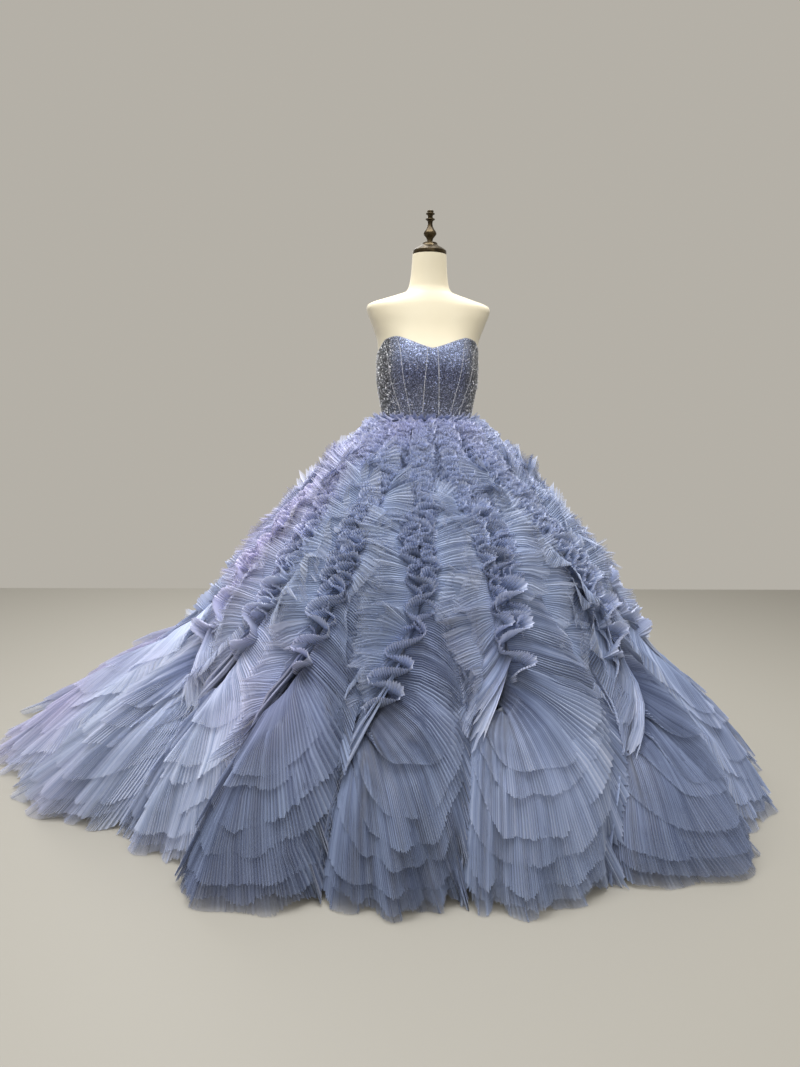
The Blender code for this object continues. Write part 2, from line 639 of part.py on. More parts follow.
def build_zip():
    """A slider with two ears and a pin, and the pull tab whose eye turns on that pin."""
    back_top = float(bodice_top(180.0))
    seat_height = back_top - 0.030
    behind = float(torso_point(np.array([180.0]), np.array([seat_height]))[0, 1]) + FORM_EASE + CLOTH + SEAM
    slider_size = (0.0070, 0.0026, 0.0120)
    ear_size = (0.0012, 0.0040, 0.0044)
    pin_radius = 0.0007
    eye_outer, eye_inner, eye_width = 0.0020, 0.0011, 0.0016
    pin_out = slider_size[1] + 0.0024
    pin_place = (0.0, behind + pin_out, seat_height)

    def box(size, place):
        bpy.ops.mesh.primitive_cube_add(size=1.0, location=place)
        piece = bpy.context.object
        piece.scale = size
        bpy.ops.object.transform_apply(location=False, rotation=False, scale=True)
        return piece

    def rod(radius, length, place, sides=12):
        bpy.ops.mesh.primitive_cylinder_add(vertices=sides, radius=radius, depth=length, location=place,
                                            rotation=(0.0, math.pi / 2.0, 0.0))
        return bpy.context.object

    def combine(target, tool, operation):
        change = target.modifiers.new("Join", "BOOLEAN")
        change.operation = operation
        change.object = tool
        bpy.context.view_layer.objects.active = target
        bpy.ops.object.modifier_apply(modifier=change.name)
        bpy.data.objects.remove(tool, do_unlink=True)

    def hand_over(piece, name, finish):
        for holder in list(piece.users_collection):
            holder.objects.unlink(piece)
        GOWN.objects.link(piece)
        piece.name = name
        piece.data.name = name
        piece.data.materials.append(finish_for(name, finish))

    slider = box(slider_size, (0.0, behind + slider_size[1] / 2.0, seat_height))
    for side in (-1.0, 1.0):
        ear_x = side * (eye_width / 2.0 + SEAM + ear_size[0] / 2.0)
        ear_y = behind + slider_size[1] - 0.0004 + ear_size[1] / 2.0
        combine(slider, box(ear_size, (ear_x, ear_y, seat_height)), "UNION")
    combine(slider, rod(pin_radius, eye_width + 2.0 * SEAM + ear_size[0], pin_place), "UNION")
    hand_over(slider, "zip_slider", "zip_metal")

    tab_length, tab_width, tab_thick = 0.024, 0.0050, 0.0012
    eye = rod(eye_outer, eye_width, pin_place, 16)
    neck = box((eye_width, tab_thick, 0.0060), (0.0, pin_place[1], pin_place[2] - eye_outer - 0.0022))
    combine(eye, neck, "UNION")
    blade_top = pin_place[2] - eye_outer - 0.0042
    blade = box((tab_width, tab_thick, tab_length), (0.0, pin_place[1], blade_top - tab_length / 2.0))
    combine(eye, blade, "UNION")
    combine(eye, rod(eye_inner, eye_width * 2.0, pin_place, 16), "DIFFERENCE")
    hand_over(eye, "zip_pull", "zip_metal")


# Making it all

def clear_scene():
    for thing in list(bpy.data.objects):
        bpy.data.objects.remove(thing, do_unlink=True)


clear_scene()
GOWN = bpy.data.collections.new("evening_gown")
bpy.context.scene.collection.children.link(GOWN)
build_torso()
build_stand()
build_bodice()
build_foundation()
build_waist_ruffle()
for cascade_number in range(len(CASCADES)):
    build_cascade(cascade_number)
build_hem_tiers()
build_zip()
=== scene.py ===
# %% [markdown]
# An evening gown on a dress form: a beaded strapless bodice over a huge skirt of pleated net.
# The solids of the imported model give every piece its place. This lesson gives them their cloth:
# each piece of the skirt is worked out as a surface of two numbers, across a cascade and down it,
# and then folded into hundreds of fine pleats.

import math

import bpy
import numpy as np
from mathutils import Matrix, Vector


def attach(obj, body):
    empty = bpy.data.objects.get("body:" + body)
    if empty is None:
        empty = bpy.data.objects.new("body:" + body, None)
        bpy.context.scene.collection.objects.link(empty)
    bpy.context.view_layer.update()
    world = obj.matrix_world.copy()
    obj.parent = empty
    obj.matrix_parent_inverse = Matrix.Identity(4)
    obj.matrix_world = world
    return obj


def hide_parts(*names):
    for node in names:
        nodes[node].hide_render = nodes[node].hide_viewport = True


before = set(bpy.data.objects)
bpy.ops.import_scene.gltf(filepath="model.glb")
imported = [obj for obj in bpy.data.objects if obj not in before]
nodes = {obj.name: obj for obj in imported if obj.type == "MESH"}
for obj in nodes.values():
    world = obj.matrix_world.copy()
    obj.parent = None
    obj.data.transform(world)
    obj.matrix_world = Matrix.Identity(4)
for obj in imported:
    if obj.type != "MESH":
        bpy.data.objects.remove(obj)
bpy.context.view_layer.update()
BODY = "gown"

# %% [markdown]
# Two short helpers: one puts an object into the scene, the other builds a mesh from corners and faces.


# %% Helpers for objects and meshes
def show(name, data):
    """A new object with some data, linked to the scene."""
    thing = bpy.data.objects.new(name, data)
    bpy.context.scene.collection.objects.link(thing)
    return thing


def mesh_of(name, points, faces, crease=None):
    """A mesh of corners and faces. With an angle it is smooth, and creased where faces meet more sharply."""
    mesh = bpy.data.meshes.new(name)
    mesh.from_pydata(np.reshape(points, (-1, 3)).tolist(), [], faces)
    if crease:
        mesh.shade_smooth()
        mesh.set_sharp_from_angle(angle=math.radians(crease))
    return mesh


# %% [markdown]
# The camera stands where the photographer stood: a little to the left of the gown's middle, at chest
# height and tipped down. Its numbers were worked out from the vanishing points of the floor boards.

# %% Place the camera
PHOTO_WIDTH, FOCAL_PIXELS = 800, 925    # pixels
SENSOR = 36.0                           # millimetres
EYE_DISTANCE, EYE_HEIGHT = 2.79, 1.0    # metres
EYE_AZIMUTH = math.radians(7.0)
PAN, PITCH, ROLL = -0.026, math.radians(5.6), math.radians(1.0)


def look_from(place, turn, pitch, roll):
    """A camera's matrix: forward is turned from +Y by an angle, tipped down by the pitch, then rolled."""
    ahead = np.array([math.sin(turn), math.cos(turn), 0.0])
    right = np.array([math.cos(turn), -math.sin(turn), 0.0])
    up = np.array([0.0, 0.0, 1.0])
    forward = ahead * math.cos(pitch) - up * math.sin(pitch)
    tipped = up * math.cos(pitch) + ahead * math.sin(pitch)
    side = right * math.cos(roll) + tipped * math.sin(roll)
    top = tipped * math.cos(roll) - right * math.sin(roll)
    rows = np.stack([side, top, -forward, place], axis=1)
    return Matrix([*rows.tolist(), [0.0, 0.0, 0.0, 1.0]])


camera_data = bpy.data.cameras.new("photo_view")
camera_data.sensor_fit = "HORIZONTAL"
camera_data.sensor_width = SENSOR
camera_data.lens = FOCAL_PIXELS / PHOTO_WIDTH * SENSOR
camera = show("photo_view", camera_data)
eye = np.array([-EYE_DISTANCE * math.sin(EYE_AZIMUTH), -EYE_DISTANCE * math.cos(EYE_AZIMUTH), EYE_HEIGHT])
camera.matrix_world = look_from(eye, EYE_AZIMUTH + PAN, PITCH, ROLL)
bpy.context.scene.camera = camera
print("lens", round(camera_data.lens, 2), "mm")

# %% [markdown]
# The room is only a pale floor, a pale surround and soft lamps. Most of the light falls from above, as from
# a lit ceiling, so that the hollows between the ruffles go dark. A weaker lamp beside the camera fills them,
# and one behind draws the outline of the train.

# %% Light
WALL_COLOUR, WALL_LIGHT = (0.82, 0.775, 0.69), 0.56
LAMPS = [                               # name, place, aim, side in metres, power in watts
    ("ceiling", (-0.3, -0.3, 4.2), (0.0, 0.0, 0.5), 3.6, 280.0),
    ("front", (-0.6, -4.4, 2.8), (0.0, 0.0, 0.9), 2.6, 24.0),
    ("behind", (-0.6, 4.0, 3.2), (0.0, 0.0, 0.6), 3.0, 60.0),
]
world = bpy.data.worlds.new("studio")
world.use_nodes = True
surround = world.node_tree.nodes["Background"].inputs
surround["Color"].default_value = (*WALL_COLOUR, 1.0)
surround["Strength"].default_value = WALL_LIGHT
bpy.context.scene.world = world
bpy.context.scene.view_settings.view_transform = "Standard"

for name, place, aim, size, power in LAMPS:
    lamp_data = bpy.data.lights.new(name, "AREA")
    lamp_data.size, lamp_data.energy = size, power
    lamp = show(name, lamp_data)
    lamp.location = place
    lamp.rotation_mode = "QUATERNION"
    lamp.rotation_quaternion = Vector(np.array(aim) - np.array(place)).to_track_quat("-Z", "Y")
print(len(LAMPS), "lamps")

# %% [markdown]
# A finish is a small network of nodes. This helper starts one from a Principled shader and hands back short
# ways to add noise and to mix two colours, so that each finish below is a few lines.


# %% A helper for finishes
class Finish:
    """A material with a Principled shader, and short ways to add nodes to it."""

    def __init__(self, name, colour, roughness, metallic=0.0, **sockets):
        self.name = name
        self.material = bpy.data.materials.new(name)
        self.material.use_nodes = True
        self.tree = self.material.node_tree
        self.shader = self.tree.nodes["Principled BSDF"]
        self.set(Base_Color=colour, Roughness=roughness, Metallic=metallic, **sockets)
        self.place = self.node("TexCoord").outputs["Object"]

    def feed(self, node, sockets):
        """Give a node's sockets their values: a number, three numbers, a colour or another node's output."""
        for key, value in sockets.items():
            socket = node.inputs[key.replace("_", " ") if isinstance(key, str) else key]
            if isinstance(value, bpy.types.NodeSocket):
                self.tree.links.new(value, socket)
            else:
                socket.default_value = (*value, 1.0) if socket.type == "RGBA" else value

    def set(self, **sockets):
        """Feed the shader's own sockets."""
        self.feed(self.shader, sockets)

    def node(self, kind, **sockets):
        """A new node, with some of its sockets fed."""
        node = self.tree.nodes.new("ShaderNode" + kind)
        self.feed(node, sockets)
        return node

    def attribute(self, name):
        """A number that each point of the mesh carries."""
        node = self.node("Attribute")
        node.attribute_name = name
        return node.outputs["Fac"]

    def noise(self, scale, detail=2.0, stretch=(1.0, 1.0, 1.0)):
        """Smooth noise between 0 and 1 in the piece's own space."""
        place = self.node("Mapping", Vector=self.place, Scale=stretch).outputs["Vector"]
        return self.node("TexNoise", Vector=place, Scale=scale, Detail=detail).outputs["Fac"]

    def cells(self, scale):
        """Three random numbers for each cell of a Voronoi pattern, which splits space into random cells."""
        return self.split(self.node("TexVoronoi", Vector=self.place, Scale=scale).outputs["Color"])

    def math(self, operation, first, second=0.0):
        """One sum of two sources or numbers."""
        node = self.node("Math")
        node.operation = operation
        self.feed(node, {0: first, 1: second})
        return node.outputs["Value"]

    def split(self, source):
        """The three numbers of a place or a colour."""
        return self.node("SeparateXYZ", Vector=source).outputs

    def ramp(self, source, *stops):
        """Colours along a number: each stop is (place, colour)."""
        node = self.node("ValToRGB", Fac=source)
        elements = node.color_ramp.elements
        while len(elements) < len(stops):
            elements.new(1.0)
        for element, (place, colour) in zip(elements, stops):
            element.position = place
            element.color = (*colour, 1.0)
        return node.outputs["Color"]

    def mix(self, factor, first, second, blend="MIX"):
        """One colour over another."""
        node = self.node("Mix")
        node.data_type, node.blend_type = "RGBA", blend
        self.feed(node, {0: factor, 6: first, 7: second})
        return node.outputs[2]

    def bump(self, height, distance, strength):
        """Fine relief from a number."""
        relief = self.node("Bump", Height=height, Distance=distance, Strength=strength)
        self.set(Normal=relief.outputs["Normal"])


BLACK, WHITE = (0.0,) * 3, (1.0,) * 3

# %% [markdown]
# The floor ends behind the gown, where the wall stands in the photograph, so that its far edge draws the line
# between floor and wall. It lies half a millimetre below the hem, so that the two never share a plane.

# %% The floor
FLOOR_REACH, WALL_PLACE, FLOOR_LEVEL = 40.0, 3.5, -0.0005
floor_finish = Finish("pale_floor", (0.30, 0.287, 0.255), 0.55)

corners = [(-FLOOR_REACH, -FLOOR_REACH), (FLOOR_REACH, -FLOOR_REACH),
           (FLOOR_REACH, WALL_PLACE), (-FLOOR_REACH, WALL_PLACE)]
floor_mesh = mesh_of("floor", [(x, y, FLOOR_LEVEL) for x, y in corners], [(0, 1, 2, 3)])
floor_mesh.materials.append(floor_finish.material)
floor = show("floor", floor_mesh)

# %% [markdown]
# Everything on this gown is placed by an azimuth round the form's axis, 0 at the front and 90 at +X, and by a
# height or a share of the way down the skirt. These are the same driving sizes as in the solids.

# %% Driving sizes
CLOTH, SEAM, FORM_EASE = 0.002, 0.0003, 0.0024
NECK_TOP, TORSO_BOTTOM, WAIST_HEIGHT = 1.551, 0.800, 1.066

# Dress form: height, half width, front depth, back depth, squareness of the section
TORSO = [
    (TORSO_BOTTOM, 0.158, 0.108, 0.114, 2.2),
    (0.830, 0.166, 0.115, 0.121, 2.2),
    (0.880, 0.167, 0.118, 0.122, 2.2),
    (0.940, 0.155, 0.112, 0.111, 2.2),
    (1.000, 0.137, 0.104, 0.096, 2.2),
    (1.050, 0.1275, 0.099, 0.088, 2.2),
    (1.090, 0.1300, 0.101, 0.089, 2.2),
    (1.140, 0.1390, 0.106, 0.094, 2.2),
    (1.185, 0.1465, 0.111, 0.099, 2.2),
    (1.220, 0.1470, 0.113, 0.100, 2.2),
    (1.260, 0.1460, 0.110, 0.097, 2.2),
    (1.300, 0.1510, 0.101, 0.090, 2.3),
    (1.340, 0.1650, 0.091, 0.082, 2.4),
    (1.375, 0.1785, 0.083, 0.076, 2.5),
    (1.392, 0.1830, 0.079, 0.073, 2.5),
    (1.400, 0.1805, 0.077, 0.072, 2.5),
    (1.408, 0.1690, 0.075, 0.070, 2.4),
    (1.420, 0.1330, 0.071, 0.067, 2.3),
    (1.432, 0.0960, 0.066, 0.063, 2.2),
    (1.443, 0.0680, 0.061, 0.058, 2.1),
    (1.460, 0.0590, 0.056, 0.054, 2.0),
    (1.500, 0.0530, 0.052, 0.051, 2.0),
    (NECK_TOP, 0.0500, 0.050, 0.050, 2.0),
]
BUST = {"height": 1.235, "aside": 0.070, "spread": 0.060, "proud": 0.014}

# Bodice top edge: azimuth on the form's section, height
BODICE_TOP = [(0, 1.269), (12, 1.280), (26, 1.295), (38, 1.3035), (55, 1.297), (75, 1.272), (100, 1.254),
              (135, 1.244), (180, 1.240)]

# Skirt foundation: height, how far it has spread from the waist on the bell, and along the train
SKIRT = [
    (WAIST_HEIGHT, 0.000, 0.000),
    (1.020, 0.024, 0.024),
    (0.940, 0.074, 0.074),
    (0.840, 0.150, 0.150),
    (0.740, 0.228, 0.232),
    (0.630, 0.300, 0.322),
    (0.500, 0.372, 0.438),
    (0.365, 0.446, 0.596),
    (0.240, 0.532, 0.800),
    (0.120, 0.620, 1.060),
    (0.000, 0.690, 1.370),
]

# How much of the train each side has: azimuth, share
TRAIN_SHARE = [
    (0, 0.00), (22, 0.00), (45, 0.08), (65, 0.08), (84, 0.13), (101, 0.26), (117, 0.52), (133, 0.84),
    (155, 0.97), (180, 1.00), (205, 1.00), (225, 0.98), (238, 0.92), (250, 0.76), (262, 0.53), (275, 0.39),
    (288, 0.16), (300, 0.06), (314, 0.03), (330, 0.07), (345, 0.02),
]

# Cascades: azimuth of the valley on each one's left at the waist and the hem, how far that valley sways to
# the right between them, in degrees, how much the fan swells at the hem, how far its middle drifts to one
# side and how far its sewn line sweeps aside at its lower end
CASCADES = [
    (-88.0, 0.0, 0.030, -0.10, 0.30),
    (-64.0, 0.0, -0.020, -0.15, -0.35),
    (-42.0, 0.0, 0.055, -0.20, -0.40),
    (-22.0, 0.0, 0.015, 0.12, -0.55),
    (-0.5, 4.0, 0.030, -0.30, -0.25),
    (24.5, 18.0, 0.055, 0.20, -0.55),
    (53.5, 10.0, 0.030, 0.15, 0.30),
    (79.0, 3.0, 0.020, -0.10, 0.35),
    (101.0, 0.0, 0.010, 0.12, -0.30),
    (125.5, 0.0, 0.030, -0.15, 0.30),
    (150.0, 0.0, 0.010, 0.10, -0.35),
    (174.5, 0.0, 0.030, -0.12, 0.30),
    (199.0, 0.0, 0.010, 0.15, -0.30),
    (223.5, 0.0, 0.030, -0.10, 0.35),
    (248.0, 0.0, 0.035, 0.12, -0.30),
]

# Height of the ruffles over the foundation: share of the way down, crest, valley, depth of the folds
RUFFLE = [
    (0.00, 0.020, 0.0008, 0.000),
    (0.06, 0.044, 0.0008, 0.000),
    (0.12, 0.056, 0.0008, 0.000),
    (0.26, 0.064, 0.0008, 0.000),
    (0.40, 0.068, 0.0008, 0.000),
    (0.54, 0.074, 0.0008, 0.004),
    (0.68, 0.086, 0.0190, 0.008),
    (0.80, 0.104, 0.0330, 0.012),
    (0.90, 0.124, 0.0400, 0.016),
    (1.00, 0.140, 0.0440, 0.018),
]
FOLDS_PER_FAN = 2.5
PLATEAU = 0.20                          # the middle part of a cascade is level
print(len(CASCADES), "cascades")

# %% [markdown]
# Tables become smooth functions. Between two rows a cubic runs with a slope that never overshoots, so a table
# of a few sizes gives a round, believable outline.


# %% Smooth functions through the tables
def ease(x):
    """0 to 1 with level ends: three squares less two cubes."""
    x = np.clip(x, 0.0, 1.0)
    return x * x * (3.0 - 2.0 * x)


def fade(x):
    """1 to 0 with level ends: what ease leaves of 1."""
    return 1.0 - ease(x)


def curve_through(rows, column):
    """A smooth function through two columns of a table; slopes are the harmonic mean of the steps beside."""
    x = np.array([row[0] for row in rows], float)
    y = np.array([row[column] for row in rows], float)
    step = np.diff(x)
    slope = np.diff(y) / step
    tangent = np.zeros_like(y)
    same_way = slope[:-1] * slope[1:] > 0
    mean = np.zeros(len(slope) - 1)
    mean[same_way] = 2.0 / (1.0 / slope[:-1][same_way] + 1.0 / slope[1:][same_way])
    tangent[1:-1] = mean
    tangent[0], tangent[-1] = slope[0], slope[-1]

    def value(at):
        at = np.clip(np.asarray(at, float), x[0], x[-1])
        i = np.clip(np.searchsorted(x, at, side="right") - 1, 0, len(step) - 1)
        t = (at - x[i]) / step[i]
        h = step[i]
        return (y[i] * (1 + 2 * t) * (1 - t) ** 2 + h * tangent[i] * t * (1 - t) ** 2
                + y[i + 1] * t * t * (3 - 2 * t) + h * tangent[i + 1] * t * t * (t - 1))

    return value


def round_curve(rows, column):
    """The same for a table of azimuths, going all the way round."""
    lead = [(row[0] - 360.0,) + tuple(row[1:]) for row in rows[-3:]]
    tail = [(row[0] + 360.0,) + tuple(row[1:]) for row in rows[:3]]
    inner = curve_through(lead + list(rows) + tail, column)
    return lambda azimuth: inner(np.mod(azimuth, 360.0))


torso_width, torso_front, torso_back, torso_square = (curve_through(TORSO, column) for column in (1, 2, 3, 4))
spread_bell, spread_train = (curve_through(sorted(SKIRT), column) for column in (1, 2))
train_share = round_curve(TRAIN_SHARE, 1)
crest_height, valley_height, fold_depth = (curve_through(RUFFLE, column) for column in (1, 2, 3))
bodice_top = curve_through(BODICE_TOP, 1)

# %% [markdown]
# The form's section is a superellipse, a curve between an ellipse and a rectangle, and the skirt's foundation
# spreads from the waist along a bell at the front and along a train at the back.


# %% The form's surface and the foundation's
def torso_point(azimuth, height):
    """A point of the form: a superellipse at each height, with two soft bust mounds in front."""
    angle = np.radians(azimuth)
    power = 2.0 / torso_square(height)
    x = torso_width(height) * np.sign(np.sin(angle)) * np.abs(np.sin(angle)) ** power
    cosine = np.cos(angle)
    depth = np.where(cosine > 0, torso_front(height), torso_back(height))
    y = -depth * np.sign(cosine) * np.abs(cosine) ** power
    mound = np.zeros_like(x)
    for side in (-1.0, 1.0):
        far = (x - side * BUST["aside"]) ** 2 + (height - BUST["height"]) ** 2
        mound = mound + np.exp(-far / BUST["spread"] ** 2)
    y = y - BUST["proud"] * mound * ease(cosine * 3.0)
    return np.stack([x, y, height + 0.0 * x], axis=-1)


FINE_HEIGHTS = np.linspace(WAIST_HEIGHT, 0.0, 400)
FINE_STEPS = np.hypot(np.diff(FINE_HEIGHTS), np.diff(spread_bell(FINE_HEIGHTS)))
FINE_LENGTH = np.concatenate([[0.0], np.cumsum(FINE_STEPS)])
FINE_SHARE = FINE_LENGTH / FINE_LENGTH[-1]


def waist_reach(azimuth):
    """How far the bodice's outer face is from the axis at the waist seam."""
    point = torso_point(azimuth, np.full(np.shape(azimuth), WAIST_HEIGHT))
    return np.hypot(point[..., 0], point[..., 1]) + FORM_EASE + CLOTH


WAIST_AZIMUTHS = np.linspace(-360.0, 720.0, 2161)
WAIST_REACHES = waist_reach(WAIST_AZIMUTHS)


def foundation_point(azimuth, down):
    """A point of the foundation's outer face. down is 0 at the waist seam and 1 on the floor."""
    height = np.interp(down, FINE_SHARE, FINE_HEIGHTS)
    share = train_share(azimuth)
    spread = spread_bell(height) * (1.0 - share) + spread_train(height) * share
    reach = np.interp(azimuth, WAIST_AZIMUTHS, WAIST_REACHES) + spread
    angle = np.radians(azimuth)
    return np.stack([reach * np.sin(angle), -reach * np.cos(angle), height], axis=-1)


def unit(vectors):
    """Vectors of length one."""
    return vectors / np.maximum(np.linalg.norm(vectors, axis=-1, keepdims=True), 1e-12)


def outward(azimuth, down):
    """The way out of the skirt: square to it, and turning level towards the floor."""
    step_round, step_down = 0.5, 0.004
    low, high = np.clip(down + step_down, 0.0, 1.0), np.clip(down - step_down, 0.0, 1.0)
    across = foundation_point(azimuth + step_round, down) - foundation_point(azimuth - step_round, down)
    along = foundation_point(azimuth, low) - foundation_point(azimuth, high)
    normal = unit(np.cross(along, across))
    level = unit(normal * np.array([1.0, 1.0, 0.0]))
    weight = ease((down - 0.70) / 0.30)[..., None]
    return unit(normal * (1.0 - weight) + level * weight)


def skirt_point(azimuth, down, proud):
    """A point that stands proud of the foundation by so many metres."""
    return foundation_point(azimuth, down) + outward(azimuth, down) * np.asarray(proud)[..., None]


# %% [markdown]
# A cascade has two coordinates: across, from -1 in the valley on its left to 1 in the valley on its right,
# and down, from the waist to the hem. Its ruffles rise from the valleys to a level middle.


# %% A cascade's own coordinates
def azimuth_on(number, across, down):
    """Azimuth of a place on a cascade, whose middle drifts to one side and whose valleys sway."""
    following = (number + 1) % len(CASCADES)
    lap = 0.0 if following else 360.0
    swaying = ease(down / 0.55) * fade((down - 0.68) / 0.32)
    left = CASCADES[number][0] + CASCADES[number][1] * swaying
    right = CASCADES[following][0] + lap + CASCADES[following][1] * swaying
    drift = CASCADES[number][3] * ease(down / 0.8) * (1.0 - across ** 2)
    return (left + right) / 2.0 + (right - left) / 2.0 * (across + drift)


def half_width(number, down):
    """Half of a cascade's width in metres, at one share of the way down."""
    edges = [foundation_point(azimuth_on(number, side + 0.0 * down, down), down) for side in (-1.0, 1.0)]
    return np.linalg.norm(edges[1] - edges[0], axis=-1) / 2.0


def swell(across):
    """Rise from a valley (-1 or 1) to the level middle."""
    edge = np.clip((np.abs(across) - PLATEAU) / (1.0 - PLATEAU), 0.0, 1.0)
    return (1.0 - edge ** 2) ** 0.8


def ruffle_height(number, across, down):
    """Height of a cascade's cloth over the foundation: valley to crest, with soft folds in the fan."""
    crest = crest_height(down) + CASCADES[number][2] * ease((down - 0.55) / 0.45)
    valley = valley_height(down)
    rise = swell(across)
    folds = fold_depth(down) * np.cos(FOLDS_PER_FAN * math.pi * across) * rise
    return valley + (crest - valley) * rise + folds


print("a cascade is", round(2 * float(half_width(3, np.array([1.0]))[0]), 3), "m wide at the hem")

# %% [markdown]
# Every piece of net is one mesh joined from grids of points. Faces run down the rows and to the right along
# the columns, which makes them face outwards. Along a pleat the cloth is smooth and across it the fold is
# sharp, so the edges that run down a column are marked sharp.


# %% Joining grids into a piece
def grid_quads(rows, columns, around=False):
    """Four corners of each face of a grid, as numbers of its points."""
    above = np.arange(rows - 1)[:, None] * columns
    column = np.arange(columns if around else columns - 1)[None, :]
    beside = (column + 1) % columns
    corners = [above + column, above + columns + column, above + columns + beside, above + beside]
    return np.stack(corners, axis=-1).reshape(-1, 4)


def add_piece(name, mesh, finish):
    """One object on the gown's body, with one finish."""
    mesh.materials.append(finish.material)
    piece = show(name, mesh)
    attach(piece, BODY)
    return piece


def join_sheets(name, sheets, finish):
    """One object from a list of sheets: each is a grid of points, with painted light and a cover for every
    point.
    """
    start = 0
    parts = {key: [] for key in ("points", "quads", "lit_tone", "cover", "stride")}
    for sheet in sheets:
        rows, columns = sheet["points"].shape[:2]
        parts["points"].append(sheet["points"].reshape(-1, 3))
        parts["quads"].append(grid_quads(rows, columns, sheet.get("around", False)) + start)
        parts["lit_tone"].append(np.broadcast_to(sheet.get("lit_tone", 0.5), (rows, columns)).ravel())
        parts["cover"].append(np.broadcast_to(sheet.get("cover", 1.0), (rows, columns)).ravel())
        parts["stride"].append(np.full(rows * columns, columns if sheet.get("pleated", True) else -1))
        start += rows * columns
    parts = {key: np.concatenate(arrays) for key, arrays in parts.items()}
    quads = parts["quads"]
    mesh = bpy.data.meshes.new(name)
    mesh.vertices.add(start)
    mesh.vertices.foreach_set("co", parts["points"].astype(np.float32).ravel())
    mesh.loops.add(quads.size)
    mesh.loops.foreach_set("vertex_index", quads.astype(np.int32).ravel())
    mesh.polygons.add(len(quads))
    mesh.polygons.foreach_set("loop_start", np.arange(0, quads.size, 4, dtype=np.int32))
    mesh.update(calc_edges=True)
    for label in ("lit_tone", "cover"):
        layer = mesh.attributes.new(label, "FLOAT", "POINT")
        layer.data.foreach_set("value", parts[label].astype(np.float32))
    ends = np.empty(len(mesh.edges) * 2, np.int32)
    mesh.edges.foreach_get("vertices", ends)
    first, second = ends.reshape(-1, 2).T
    creased = mesh.attributes.new("sharp_edge", "BOOLEAN", "EDGE")
    creased.data.foreach_set("value", np.abs(first - second) == parts["stride"][first])
    return add_piece(name, mesh, finish)


def triangles(piece):
    """Triangles of a piece of four-sided faces."""
    return 2 * len(piece.data.polygons)


# %% [markdown]
# The cut of the cloth on this gown is worked out from its sheets: a pleat folds the net and doesn't stretch
# it, so the cut's area is the surface's own area, and the strips' width gives their length.


# %% The cut of the cloth
def surface_area(piece):
    """The area of all the faces of a piece, in square metres."""
    areas = np.empty(len(piece.data.polygons))
    piece.data.polygons.foreach_get("area", areas)
    return float(areas.sum())


def sew(node, sheets, finish, strip):
    """The cloth that takes a solid's place, cut from strips of one width, and the strips' whole length."""
    piece = join_sheets(f"net_{node}", sheets, finish)
    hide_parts(node)
    length = surface_area(piece) / strip
    return piece, length


# %% [markdown]
# Pleated net is matt. Along the top of every fold it is painted lighter, a painted highlight, and in every
# groove
# a painted shade darkens it: a number that each point carries sets its painted light and shade, with a little
# chance in it, and the cover says how much a single layer hides: at a free edge there is little cloth, and
# the floor or the next layer shows through. Large soft noise gives the slow change from dusty blue to lilac.

# %% The net's finish
NET_SHADED = (0.050, 0.074, 0.165)
NET_BLUE = (0.266, 0.335, 0.510)
NET_LIT = (0.655, 0.715, 0.900)

net = Finish("pleated_net", NET_BLUE, 0.85, Sheen_Weight=0.25, Sheen_Roughness=0.6)
# Painted light: painted shade in the grooves, the net's blue between, and a painted highlight on the ridges
pleat = net.ramp(net.attribute("lit_tone"), (0.0, NET_SHADED), (0.5, NET_BLUE), (1.0, NET_LIT))
patch = net.ramp(net.noise(1.7), (0.42, BLACK), (0.68, WHITE))
lilac = net.mix(1.0, pleat, (1.16, 0.99, 1.05), "MULTIPLY")
x, _, z = net.split(net.place)
high_left = net.math("SUBTRACT", net.math("MULTIPLY", z, 0.6), net.math("ADD", x, 0.05))
leftwards = net.ramp(high_left, (0.1, (0.10,) * 3), (0.7, WHITE))
net.set(Base_Color=net.mix(net.math("MULTIPLY", patch, leftwards), pleat, lilac))
net.set(Alpha=net.attribute("cover"))

# %% [markdown]
# The wide ruffles of a cascade are layers of pleated net, sewn down along a line that runs from the waist to
# the foot of its fan, where it sweeps aside. On the far side of that line a fan opens: its pleats lie level
# on the flank and spread like a hand at the foot. On the near side the ruffle ends in a flap, whose last
# pleat lies slantwise over the roots of the fan.

# %% The line that a cascade's ruffles are sewn on
LINE_TOP = 0.012
SWEEP_FROM, SWEEP_OVER, SWEEP_ON = 0.46, 0.24, 0.66
SPLIT = 0.555                           # from here down the near side has only its flap
USUAL_REACH = 1.06                      # how far across a flap's last pleat goes
FLAP_REACH = [USUAL_REACH] * len(CASCADES)
FLAP_REACH[2] = 1.36


def line_end(number):
    """How far down a cascade's sewn line ends: lower where it sweeps aside."""
    return 0.63 + 0.20 * abs(CASCADES[number][4])


def sewn_line(number, down):
    """Where across the cascade the line is: a slow wave, and a sweep to one side near its lower end."""
    wave = 0.05 * np.sin(2.0 * math.pi * (2.6 * down + 0.37 * number)) * ease(down / 0.2)
    sweep = ease((down - SWEEP_FROM) / SWEEP_OVER) + 5.0 * np.maximum(down - SWEEP_ON, 0.0)
    return wave + CASCADES[number][4] * sweep


def far_side(number):
    """Which side the fan opens to: away from the sweep."""
    return -1.0 if CASCADES[number][4] > 0.0 else 1.0


# %% The paths of the pleats
PATH_SAG = 0.035                        # how far a level pleat bows upwards, as a share of its length


